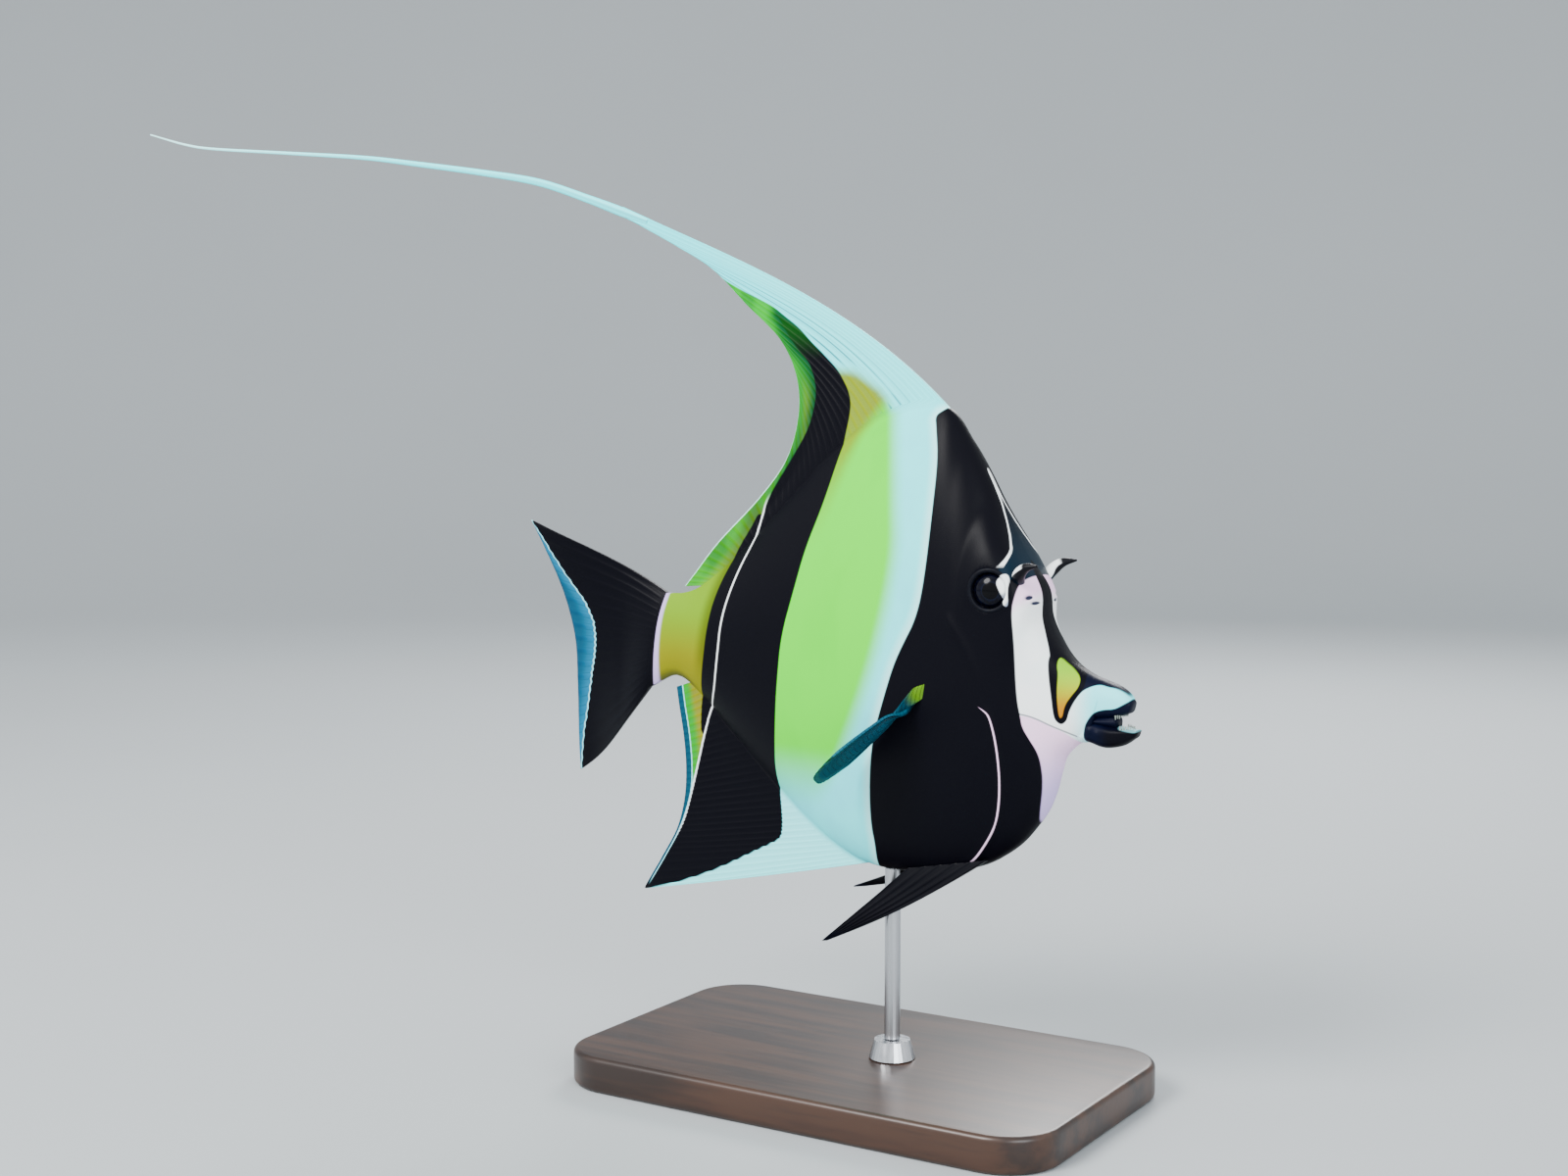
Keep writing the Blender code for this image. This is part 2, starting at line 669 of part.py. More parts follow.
def build_head(skin, eye_skin):
    """The head from the mouth's corner to the gills, with eye sockets, nostrils and gill covers."""
    head = trunk("head", 0.0, HEAD_END - 0.012, 30, 25, skin)
    join(head, [orbit_ring(side, ORBIT_RING_THICKNESS, skin) for side in (1, -1)])
    for side, word in ((1, "right"), (-1, "left")):
        centre = (EYE_CENTRE[0], side * EYE_CENTRE[1], EYE_CENTRE[2])
        turn = side * EYE_TURN
        socket = ball("socket", centre, [r + GAP for r in (EYE_RADIUS, EYE_DEPTH, EYE_RADIUS)], turn, skin)
        cut(head, socket)
        ball("eye_" + word, centre, (EYE_RADIUS, EYE_DEPTH, EYE_RADIUS), turn, eye_skin)
        for x, z, radius in NOSTRILS:
            place = (x, side * flank_y(x, z), z)
            cut(head, ball("nostril", place, (radius, radius * 1.1, radius), 0.0, skin, 10, 6))
        outline = smooth_outline(GILL_COVER)
        inner, outer = -side * GILL_COVER_INNER_Y, -side * 20.0
        cover = trunk("gill_cover_" + word, 3.0, HEAD_END - 0.012, 24, 25, skin)
        keep = prism("keep", moved_outline(outline, -HALF_GAP), inner, outer, skin)
        cut(cover, keep, "INTERSECT")
        keep_largest(cover)
        seat = prism("seat", moved_outline(outline, HALF_GAP), inner + side * GAP, outer, skin)
        cut(head, seat)
    keep_largest(head)
    return head


def orbit_ring(side, thickness, skin):
    """The raised rim round one eye."""
    centre = (EYE_CENTRE[0], side * (EYE_CENTRE[1] - 1.6), EYE_CENTRE[2])
    return ring("orbit", centre, ORBIT_RING_RADIUS, thickness, -side * EYE_TURN, skin)


def flank_y(x, z):
    """The right flank's y at a place on the head, found by a search over the trunk's ribs."""
    best = min(
        (abs(px - x) + abs(pz - z), -half)
        for rib in [3 + 0.05 * k for k in range(120)]
        for px, pz, half in [trunk_point(rib, 0.01 * m) for m in range(101)]
    )
    return best[1]


def build_stand(wood, steel, torso_cutter):
    """A flat base with rounded corners, a collar and one short rod up to the belly."""
    curve = bpy.data.curves.new("stand_base", "CURVE")
    curve.dimensions = "2D"
    curve.fill_mode = "BOTH"
    curve.extrude = (BASE_HEIGHT / 2 - BASE_EDGE) * MM
    curve.bevel_depth = BASE_EDGE * MM
    curve.bevel_resolution = 1
    curve.offset = -BASE_EDGE * MM
    outline = []
    steps = 6
    for corner, (sx, sy) in enumerate(((1, 1), (-1, 1), (-1, -1), (1, -1))):
        for k in range(steps + 1):
            angle = math.pi / 2 * (corner + k / steps)
            outline.append((
                sx * (BASE_LENGTH / 2 - BASE_CORNER) + BASE_CORNER * math.cos(angle),
                sy * (BASE_WIDTH / 2 - BASE_CORNER) + BASE_CORNER * math.sin(angle),
            ))
    line = curve.splines.new("POLY")
    line.points.add(len(outline) - 1)
    line.use_cyclic_u = True
    for point, (x, y) in zip(line.points, outline):
        point.co = (x * MM, y * MM, 0, 1)
    base = bpy.data.objects.new("stand_base", curve)
    base.location = (0, 0, BASE_HEIGHT / 2 * MM)
    curve.materials.append(wood)
    fish.objects.link(base)
    collar_low = BASE_HEIGHT + GAP
    cylinder("stand_collar", COLLAR_RADIUS, collar_low, collar_low + COLLAR_HEIGHT, ROD_X, steel,
             top_radius=COLLAR_RADIUS - 1.5)
    rod = cylinder("stand_rod", ROD_RADIUS, collar_low + COLLAR_HEIGHT + GAP, ROD_TOP, ROD_X, steel)
    cut(rod, torso_cutter)
    keep_largest(rod)


def build():
    white = material("fish_skin", (0.85, 0.95, 0.92), 0.45)
    yellow = material("fish_stalk", (0.75, 0.80, 0.12), 0.45)
    black = material("fish_black", (0.01, 0.01, 0.03), 0.4)
    membrane = material("fin_membrane", (0.55, 0.85, 0.9), 0.4)
    eye_skin = material("eye", (0.02, 0.02, 0.03), 0.1)
    bone = material("horn", (0.06, 0.06, 0.08), 0.5)
    tooth = material("tooth", (0.85, 0.82, 0.7), 0.3)
    wood = material("stand_wood", (0.05, 0.03, 0.02), 0.35)
    steel = material("stand_steel", (0.6, 0.6, 0.62), 0.25, 1.0)

    build_head(white, eye_skin)
    trunk("torso", HEAD_END + 0.012, TORSO_END - 0.016, 22, 21, white)
    trunk("tail_stalk", TORSO_END + 0.016, STALK_END, 8, 13, yellow)
    upper = jaw("upper_jaw", UPPER_JAW, black)
    lower = jaw("lower_jaw", LOWER_JAW, black)
    teeth(upper, UPPER_JAW, -1, tooth)
    teeth(lower, LOWER_JAW, 1, tooth)

    dorsal = (1.0, DORSAL_FIRST_RIB, DORSAL_LAST_RIB, DORSAL_RAY_ENDS)
    front_rays = round(DORSAL_RAYS * DORSAL_SPLIT)
    bows = (DORSAL_BOW, DORSAL_BOW_REAR)
    rear_rays = DORSAL_RAYS - front_rays
    front_shares, rear_shares = (0.0, DORSAL_SPLIT - 0.0015), (DORSAL_SPLIT + 0.0015, 1.0)
    middle_fin("dorsal_fin_front", *dorsal, front_rays, bows, front_shares, 13, white, DORSAL_BOW_SKEW)
    middle_fin("dorsal_fin_rear", *dorsal, rear_rays, bows, rear_shares, 7, yellow, DORSAL_BOW_SKEW)
    middle_fin("anal_fin", 0.0, ANAL_FIRST_RIB, ANAL_LAST_RIB, ANAL_RAY_ENDS, ANAL_RAYS,
               (ANAL_BOW, ANAL_BOW_REAR), (0.0, 1.0), 10, black)
    tail_fin(black)
    whip("dorsal_whip_near", 0, WHIP_SPLIT, white)
    whip("dorsal_whip_far", WHIP_SPLIT, len(WHIP) - 1, white)

    for side, word, pelvic in ((1, "right", PELVIC_RIGHT), (-1, "left", PELVIC_LEFT)):
        fin = fan_fin("pectoral_fin_" + word, side, pectoral_frame, PECTORAL_RAYS, 10, membrane)
        cut(fin, grown_trunk(black))
        keep_largest(fin)
        fin = fan_fin("pelvic_fin_" + word, 1, pelvic_frame(*pelvic), PELVIC_RAYS, 8, black)
        cut(fin, grown_trunk(black))
        keep_largest(fin)
        brow = horn("horn_" + word, side, bone)
        cut(brow, orbit_ring(side, ORBIT_RING_THICKNESS + GAP, black))
        cut(brow, grown_trunk(black))
        keep_largest(brow)
    build_stand(wood, steel, grown_trunk(black))


def grown_trunk(material_used):
    """The whole trunk grown by the gap, which cuts the root of each piece that stands on it."""
    return trunk("grown", 0.0, STALK_END, 52, 25, material_used, grown=GAP)


for old in list(bpy.data.objects):
    bpy.data.objects.remove(old)
fish = bpy.data.collections.new("moorish_idol")
bpy.context.scene.collection.children.link(fish)
build()
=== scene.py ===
# %% [markdown]
# # A moorish idol on its stand
#
# This script dresses the packed solids of a moorish idol, a reef fish, as the photograph shows it. Lengths
# are in millimetres until a mesh is made. The fish swims towards +X, and its right side, towards -Y, faces
# the camera. We start by loading the frame.

# %% Load the frame
import math

import bpy
import numpy as np
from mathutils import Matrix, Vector


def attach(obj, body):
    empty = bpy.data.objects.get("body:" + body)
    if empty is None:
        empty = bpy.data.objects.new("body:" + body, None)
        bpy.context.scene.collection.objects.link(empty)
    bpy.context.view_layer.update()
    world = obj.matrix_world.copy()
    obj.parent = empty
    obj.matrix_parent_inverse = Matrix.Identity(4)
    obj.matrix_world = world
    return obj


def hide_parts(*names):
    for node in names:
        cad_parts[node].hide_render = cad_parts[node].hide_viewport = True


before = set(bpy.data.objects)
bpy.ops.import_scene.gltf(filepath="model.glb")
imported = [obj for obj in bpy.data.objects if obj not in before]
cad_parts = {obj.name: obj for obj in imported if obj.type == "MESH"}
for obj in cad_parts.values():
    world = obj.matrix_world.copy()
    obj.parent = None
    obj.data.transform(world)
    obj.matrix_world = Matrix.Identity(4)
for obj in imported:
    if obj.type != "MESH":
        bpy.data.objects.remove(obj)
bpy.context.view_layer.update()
MM = 0.001
scene = bpy.context.scene

# %% [markdown]
# ## The camera
#
# The view was worked out from the fish itself: 32 degrees forward of its side and 5 degrees above, through
# a 50 mm lens. One point of the body, 130 mm above the floor, sits at a known place in the picture, and the
# distance is what makes the fish fill as much of it as it does in the photograph.

# %% The camera
PICTURE_WIDTH, PICTURE_HEIGHT = 1600, 1200
LENS, SENSOR = 50.0, 36.0
AZIMUTH, ELEVATION = math.radians(32), math.radians(5)
ANCHOR, ANCHOR_PIXEL, DISTANCE = Vector((0, 0, 130)), (880, 640), 602.0

back = Vector((
    math.sin(AZIMUTH) * math.cos(ELEVATION),
    -math.cos(AZIMUTH) * math.cos(ELEVATION),
    math.sin(ELEVATION),
))
pixels_per_unit = LENS / SENSOR * PICTURE_WIDTH
right = Vector((math.cos(AZIMUTH), math.sin(AZIMUTH), 0))
up = back.cross(right)
aside = (ANCHOR_PIXEL[0] - PICTURE_WIDTH / 2) / pixels_per_unit
above = (PICTURE_HEIGHT / 2 - ANCHOR_PIXEL[1]) / pixels_per_unit

camera = bpy.data.objects.new("camera", bpy.data.cameras.new("camera"))
camera.data.lens, camera.data.sensor_width = LENS, SENSOR
camera.data.clip_start = 0.01
camera.location = (ANCHOR - (aside * right + above * up - back) * DISTANCE) * MM
camera.rotation_euler = (-back).to_track_quat("-Z", "Y").to_euler()
scene.collection.objects.link(camera)
scene.camera = camera
print("camera at", [round(v, 3) for v in camera.location])

# %% [markdown]
# ## The body's ribs
#
# The trunk is a row of ribs. Each rib is a curved line on the middle plane, from the lower outline to the
# upper one, and the flank swells away from it. The table gives, for each rib, the ends of the line, how far
# its middle bows backwards, the half width there and how high up its widest place is.

# %% The body's ribs
RIBS = np.array([
    (74, 120, 69, 103.8, 0, 4.6, 0.50),
    (69.5, 121.5, 66.2, 103.2, 0, 5.4, 0.50),
    (64.4, 124.4, 64.2, 101.8, 1, 6.8, 0.50),
    (60, 129.2, 61.6, 98.8, 3, 8.4, 0.52),
    (56.6, 135.8, 60.3, 94.4, 6.6, 10.2, 0.56),
    (55.6, 143.3, 58.9, 89, 10, 11.7, 0.60),
    (51, 150.8, 56.8, 84, 12, 12.7, 0.62),
    (46.8, 158.2, 53.6, 79.4, 12.4, 13.2, 0.62),
    (42.6, 166.2, 50, 75.2, 10.6, 13.4, 0.60),
    (38.4, 174.2, 45.2, 71.4, 7.5, 13.4, 0.56),
    (33.4, 182.4, 39, 67.9, 4, 13.2, 0.52),
    (26.6, 190.4, 30, 65.2, 1.5, 13, 0.48),
    (15, 189.8, 18, 63.6, 0, 12.7, 0.46),
    (2, 185.2, 4, 64.2, 0, 12, 0.45),
    (-10, 177, -8, 69, 0, 11, 0.46),
    (-21, 167, -20, 77.4, 0, 9.8, 0.47),
    (-32, 156.4, -31.6, 87.8, 0, 8.3, 0.48),
    (-43, 146.4, -42.4, 97.6, 0, 6.5, 0.49),
    (-53, 139.2, -52.6, 107.2, 0, 4.9, 0.50),
    (-59.5, 136.8, -61.8, 112.6, 0, 3.9, 0.50),
    (-65.6, 136.4, -71.8, 108.4, 0, 3.2, 0.50),
])
STALK_END, LAST_RIB_GAP = 20.0, 6.4
RIM, BARE_RIM = 0.9, 0.35
print(len(RIBS), "ribs")

# %% [markdown]
# ## From ribs to a smooth flank
#
# Smooth curves through the rows of the table give a rib anywhere between them. The flank's section is a
# power curve: blunt over the forehead, where the fish is thick up to its edge, and sharp where a fin
# continues it.

# %% From ribs to a smooth flank
def along(rows, at):
    """Smooth (Catmull-Rom) rows at fractional row numbers."""
    rows, at = np.asarray(rows, float), np.asarray(at, float)
    i = np.clip(at.astype(int), 0, len(rows) - 2)
    f = (at - i)[..., None]
    padded = np.vstack([2 * rows[0] - rows[1], rows, 2 * rows[-1] - rows[-2]])
    a, b, c, d = (padded[i + k] for k in range(4))
    square, cube = 2 * a - 5 * b + 4 * c - d, 3 * b - a - 3 * c + d
    return 0.5 * (2 * b + (c - a) * f + square * f ** 2 + cube * f ** 3)


def at_share(rows, share):
    """Smooth values of a table whose first column is a share from 0 to 1."""
    rows = np.asarray(rows, float)
    return along(rows[:, 1:], np.interp(share, rows[:, 0], np.arange(len(rows))))


def ramp(value, start, end):
    """0 before start, 1 after end, and smooth in between."""
    f = np.clip((value - start) / (end - start), 0, 1)
    return f * f * (3 - 2 * f)


def trunk(rib, height):
    """Middle-plane x and z and the half width of the trunk: height 0 is the lower rim, 1 the upper."""
    tx, tz, bx, bz, bow, wide, widest = np.moveaxis(along(RIBS, rib), -1, 0)
    x = bx + (tx - bx) * height - 4 * height * (1 - height) * bow
    z = bz + (tz - bz) * height
    upper = height > widest
    away = np.where(upper, (height - widest) / (1 - widest), (widest - height) / widest)
    rim_share = np.where(upper, ramp(rib, 9.8, 11.0), ramp(rib, 11.9, 13.1))
    rim = BARE_RIM + (RIM - BARE_RIM) * rim_share
    lens = np.where(upper, ramp(rib, 8.5, 13.0), ramp(rib, 11.5, 16.0))
    sharp = ramp(rib, 6.5, 8.5)
    blunt = ramp(rib, 1.0, 4.0) * (1 - sharp)
    brow = 8.0 * np.exp(-(((rib - 6.0) / 1.1) ** 2))
    power = np.where(upper, 3.2 + 2.0 * blunt + brow - 0.8 * sharp, 2.3)
    half = rim + (wide - rim) * (1 - away ** power) ** (0.5 + 0.42 * lens)
    return x, z, half


flank = trunk(np.linspace(0, 20, 200)[:, None], np.linspace(0, 1, 50))
print("body depth, mm:", round(float(np.ptp(flank[1])), 1))

# %% [markdown]
# ## Fins
#
# The fins in the middle plane are fans of rays. A ray starts on the trunk's rim, and a table says where
# each one ends. The tail fin is also twisted a little, because the fish is in a stroke of its tail.

# %% Fins
DORSAL_FIRST, DORSAL_LAST, DORSAL_RAYS = 11.0, 18.0, 41
DORSAL_ENDS = [
    (0.00, -80.9, 248.6), (0.05, -80.8, 245.8), (0.07, -77, 244), (0.14, -62.6, 236.9), (0.22, -49.5, 229.6),
    (0.30, -38, 219.4), (0.38, -27.5, 210.4), (0.45, -21.7, 200.2), (0.53, -20.7, 189), (0.61, -24.5, 176.5),
    (0.69, -33.4, 165.4), (0.83, -47.5, 152.2), (0.94, -55.8, 142.8), (1.00, -59.4, 138.7),
]
DORSAL_BOW, DORSAL_SKEW = (-5.8, 0.0), 0.5
ANAL_FIRST, ANAL_LAST, ANAL_RAYS = 13.1, 18.6, 33
ANAL_ENDS = [
    (0.00, -74, 47.8), (0.04, -73.8, 49), (0.15, -67.6, 58.6), (0.30, -62.4, 67.4), (0.45, -59.8, 76.4),
    (0.60, -59.2, 85.4), (0.75, -60, 94.8), (0.90, -61.6, 103.8), (1.00, -62.6, 110.2),
]
ANAL_BOW = (0.4, 0.0)
TAIL_RAYS, TAIL_BOWS, TAIL_TWIST, TAIL_MIDDLE = 16, (-0.8, 1.9), math.radians(15), 122.0
RAY_RIDGE, TAIL_RIDGE, FIN_THINNING, FREE_EDGE = 0.14, 0.16, 0.58, 0.45
TAIL_ENDS = [
    (0.00, -108.4, 156.9), (0.10, -105.4, 149.4), (0.28, -101, 135.6), (0.50, -99.6, 121.4),
    (0.72, -101.8, 106.6), (0.90, -104.9, 90), (1.00, -106.6, 79),
]


print("rays:", DORSAL_RAYS, "dorsal,", ANAL_RAYS, "anal,", TAIL_RAYS, "tail")


def ray_points(root, end, bow, way, skew=0.0):
    """Places along rays from root to end that bow to their left. skew moves the bow towards the root."""
    chord = end - root
    across = np.stack([-chord[..., 1], chord[..., 0]], -1)
    across = across / np.linalg.norm(across, axis=-1, keepdims=True)
    away = 4 * way * (1 - way) * bow * (1 + skew * (1 - 2 * way))
    return root + chord * way[..., None] + across * away[..., None]


def ray_ridges(phase, way, height, begin):
    """How far the rays stand out of a fin: a wave over the number of the ray, lower towards the margin."""
    return height * (0.5 + 0.5 * np.cos(2 * np.pi * phase)) * ramp(way, begin, 0.3) * (1 - 0.5 * way)


def middle_fin(ribs, rim, first, last, ends, bows, rays, ways, skew=0.0):
    """A fin on the trunk's rim: x, z, half thickness, the number of the ray and mm to the margin."""
    share = np.clip((ribs - first) / (last - first), 0, 1)
    x, z, _ = trunk(ribs, np.full_like(ribs, rim))
    root, end = np.stack([x, z], -1)[:, None], at_share(ends, share)[:, None]
    way = ways[None, :] * np.ones((len(ribs), 1))
    bow = (bows[0] + (bows[1] - bows[0]) * ramp(share, 0.0, 0.6))[:, None] * np.ones_like(way)
    place = ray_points(root, end, bow, way, skew)
    phase = share[:, None] * rays * np.ones_like(way)
    strength = RAY_RIDGE * (0.35 + 0.65 * ramp(share, 0.1, 0.4))[:, None]
    half = RIM - FIN_THINNING * ramp(way, 0.0, 0.5) - 0.08 * way + ray_ridges(phase, way, strength, 0.03)
    half *= 1 - FREE_EDGE * ramp(way, 0.96, 1.0)
    return place[..., 0], place[..., 1], half, phase, (1 - way) * np.linalg.norm(end - root, axis=-1)


# %% [markdown]
# ## The grid of the skin
#
# One skin covers head, trunk and the fins in the middle plane, so no seam can show. Its near side is a grid
# of places with a half width each, the far side is its mirror, and a narrow strip joins the two along every
# edge.

# %% The grid of the skin
columns = np.concatenate([
    np.linspace(0, 4.1, 36, endpoint=False), np.linspace(4.1, 6.0, 56, endpoint=False),
    np.linspace(6.0, 11, 38, endpoint=False), np.linspace(11, 18, 164, endpoint=False),
    np.linspace(18, STALK_END, 13),
])
steps = np.linspace(0, 1, 100)
heights = 0.5 - 0.5 * np.sin(np.pi * 0.43 * (1 - 2 * steps)) / math.sin(np.pi * 0.43)
rib_grid, height_grid = np.meshgrid(columns, heights, indexing="ij")
x, z, half = trunk(rib_grid, height_grid)

dorsal_columns = np.flatnonzero((columns >= DORSAL_FIRST) & (columns <= DORSAL_LAST + 1e-9))
anal_columns = np.flatnonzero((columns >= ANAL_FIRST - 0.02) & (columns <= ANAL_LAST + 0.02))
dorsal = middle_fin(
    columns[dorsal_columns], 1.0, DORSAL_FIRST, DORSAL_LAST, DORSAL_ENDS, DORSAL_BOW, DORSAL_RAYS,
    np.linspace(0, 1, 41)[1:], DORSAL_SKEW,
)
anal = middle_fin(
    columns[anal_columns], 0.0, ANAL_FIRST, ANAL_LAST, ANAL_ENDS, ANAL_BOW, ANAL_RAYS,
    np.linspace(0, 1, 31)[1:],
)

tail_ways = np.linspace(0, 1, 41)[1:]
share = 1 - heights
root = np.stack([x[-1], z[-1]], -1)[None]
end = at_share(TAIL_ENDS, share)[None]
way = tail_ways[:, None] * np.ones((1, len(share)))
bow = TAIL_BOWS[0] + (TAIL_BOWS[1] - TAIL_BOWS[0]) * share * np.ones_like(way)
place = ray_points(root, end, bow, way)
tail_phase = share * TAIL_RAYS * np.ones_like(way)
tail_half = half[-1] + (0.34 - half[-1]) * ramp(way, 0.0, 0.45) + ray_ridges(tail_phase, way, TAIL_RIDGE, 0.05)
tail_half *= 1 - FREE_EDGE * ramp(way, 0.96, 1.0)
tail_lean = -math.tan(TAIL_TWIST) * (place[..., 1] - TAIL_MIDDLE) * ramp(way, 0.0, 0.9)
tail_length = np.linalg.norm(end - root, axis=-1)
print("columns", len(columns), "rows", len(heights), "dorsal", len(dorsal_columns), "anal", len(anal_columns))

# %% [markdown]
# ## Distances to lines and outlines
#
# The features of the head and all the markings are lines and outlines on the flank. These functions say how
# far a place is from one of them. Their corners are cut twice first, so that a few points give a smooth
# line.

# %% Distances to lines and outlines
def rounded(points, closed):
    """A line with its corners cut twice, so that it bends smoothly."""
    rows = np.asarray(points, float)
    for _ in range(2):
        after = np.roll(rows, -1, axis=0)
        cut = np.stack([0.75 * rows + 0.25 * after, 0.25 * rows + 0.75 * after], 1).reshape(-1, 2)
        rows = cut if closed else np.vstack([rows[:1], cut[:-2], rows[-1:]])
    return rows


def segment_distances(px, pz, points, closed):
    """Distances from places to a line, below 0 on its right-hand side if it is an open one."""
    a = rounded(points, closed)
    b = np.roll(a, -1, axis=0)
    if not closed:
        a, b = a[:-1], b[:-1]
    best, side = np.full(px.shape, 1e9), np.ones(px.shape)
    for (ax, az), (bx, bz) in zip(a, b):
        dx, dz = bx - ax, bz - az
        t = np.clip(((px - ax) * dx + (pz - az) * dz) / (dx * dx + dz * dz), 0, 1)
        ox, oz = px - ax - t * dx, pz - az - t * dz
        away = np.hypot(ox, oz)
        nearer = away < best
        best = np.where(nearer, away, best)
        side = np.where(nearer, np.where(dx * oz - dz * ox < 0, -1.0, 1.0), side)
    return best if closed else best * side


def inside(px, pz, points):
    """True for places inside a closed outline."""
    found = np.zeros(px.shape, bool)
    a = np.asarray(points, float)
    for (ax, az), (bx, bz) in zip(a, np.roll(a, -1, axis=0)):
        if az != bz:
            crosses = ((az > pz) != (bz > pz)) & (px < (bx - ax) * (pz - az) / (bz - az) + ax)
            found ^= crosses
    return found


def area_distance(px, pz, points):
    """Distance in mm to a closed outline, positive inside it."""
    far = segment_distances(px, pz, points, True)
    return np.where(inside(px, pz, rounded(points, True)), far, -far)


square = area_distance(np.array([5.0]), np.array([5.0]), [(0, 0), (10, 0), (10, 10), (0, 10)])
print("the middle of a 10 mm square is", square[0], "mm inside it")

# %% [markdown]
# ## Features of the head in the skin
#
# The orbit is a low ring round a hollow for the eye, the gill cover ends in a raised edge, and the nostrils
# are two small pits. All but the hollow push the flank in or out by less than a millimetre.

# %% Features of the head in the skin
EYE_CENTRE, EYE_RADII, EYE_TURN = (45.0, -9.9, 143.2), (5.2, 3.7, 5.2), math.radians(14)
NOSTRILS = [(54.5, 141.4, 0.75), (55.4, 139.9, 0.6)]
ORBIT_DEPTH, NOSTRIL_DEPTH, NOSTRIL_LIP, GILL_SWELL, GILL_WIDTH, THINNEST = 3.4, 0.9, 0.18, 0.35, 1.1, 0.2
GILL_EDGE = [
    (33.5, 135), (38, 129), (42, 121), (42.5, 112.6), (45.1, 110.4), (46.4, 105.3), (47.1, 99.5),
    (47.2, 92.6), (46.4, 85.5), (44.9, 80.2), (42.1, 75.5), (38, 70.3), (34.6, 67.8),
]

plain_half = half.copy()
eye_away = np.hypot(x - EYE_CENTRE[0], z - EYE_CENTRE[2])
half -= ORBIT_DEPTH * (1 - ramp(eye_away, 4.2, 5.0))
half += 0.12 * np.exp(-(((eye_away - 6.0) / 0.8) ** 2))
for nx, nz, radius in NOSTRILS:
    away = np.hypot(x - nx, z - nz)
    half -= NOSTRIL_DEPTH * (1 - ramp(away, 0.3 * radius, radius))
    half += NOSTRIL_LIP * np.exp(-(((away - radius * 1.25) / 0.35) ** 2))
gill_away = np.abs(segment_distances(x, z, GILL_EDGE, False))
half += GILL_SWELL * np.exp(-((gill_away / GILL_WIDTH) ** 2)) * ramp(half, 0.4, 4.0)
half = np.maximum(half, THINNEST)
print("skin's half width, mm:", round(float(half.min()), 2), "to", round(float(half.max()), 2))

# %% [markdown]
# ## Numbers for each vertex
#
# The four grids are stacked into one list of places. Every vertex also keeps the ray it lies on and how far
# it is from the margins. The materials read them later. An image could say the same, but numbers have no
# resolution.

# %% Numbers for each vertex
SHAPES = x.shape, dorsal[0].shape, anal[0].shape, way.shape
STARTS = np.cumsum([0, *(math.prod(shape) for shape in SHAPES)])
TAIL_MARGIN = (0.4, 2.2, 4.3, 7.4, 8.4, 7.9, 6.9, 5.9, 4.4, 2.4, 0.6)


def stacked(*parts):
    """One number for each near vertex, from a grid or a single number for trunk, dorsal, anal and tail fin."""
    grids = [np.broadcast_to(np.asarray(p, float), shape).ravel() for p, shape in zip(parts, SHAPES)]
    return np.concatenate(grids)


near_x = stacked(x, dorsal[0], anal[0], place[..., 0])
near_z = stacked(z, dorsal[1], anal[1], place[..., 1])
near_half = stacked(half, dorsal[2], anal[2], tail_half)
lean = stacked(0, 0, 0, tail_lean)
tail_to_margin = (1 - way) * tail_length
margin_width = np.interp(share, np.linspace(0, 1, len(TAIL_MARGIN)), TAIL_MARGIN)
fields = {
    "ray_number": stacked(0, dorsal[3], anal[3], tail_phase),
    "to_margin": stacked(99, dorsal[4], anal[4], tail_to_margin),
    "on_dorsal": stacked(0, 1, 0, 0),
    "on_anal": stacked(0, 0, 1, 0),
    "on_tail": stacked(0, 0, 0, 1),
    "tail_margin": stacked(-50, -50, -50, margin_width - tail_to_margin),
    "behind_stalk": stacked((rib_grid - STALK_END) * LAST_RIB_GAP, -40, -40, way * tail_length),
}
print("numbers kept:", ", ".join(fields))

# %% [markdown]
# ## One closed mesh
#
# Faces on the near side run one way round, those on the far side the other way, and every edge that only
# one near face uses gets a strip across to the far side. A solid made of separate fins could be joined by
# booleans, but one grid leaves no seam at all.

# %% One closed mesh
def grid_faces(index, reverse=False):
    """Four-sided faces between neighbours in a grid of vertex numbers."""
    corners = [index[:-1, :-1], index[:-1, 1:], index[1:, 1:], index[1:, :-1]]
    return np.stack([c.ravel() for c in (corners[::-1] if reverse else corners)], -1)


def closed_sheet(near_faces, count):
    """Near faces, their mirror and the strip along every open edge."""
    edges = np.concatenate([near_faces[:, [k, (k + 1) % 4]] for k in range(4)])
    known = set(map(tuple, edges.tolist()))
    rim = [(b, a, a + count, b + count) for a, b in known if (b, a) not in known]
    return near_faces.tolist() + (near_faces[:, ::-1] + count).tolist() + sorted(rim)


def ring_faces(rings, around, joined=False):
    """Faces of rings of vertices. A fan closes each end, unless the last ring joins the first."""
    index = np.arange(rings * around).reshape(rings, around)
    index = np.hstack([index, index[:, :1]])
    if joined:
        return grid_faces(np.vstack([index, index[:1]])).tolist()
    fans = [(rings * around, b, a) for a, b in zip(index[0], index[0, 1:])]
    fans += [(rings * around + 1, a, b) for a, b in zip(index[-1], index[-1, 1:])]
    return grid_faces(index).tolist() + fans


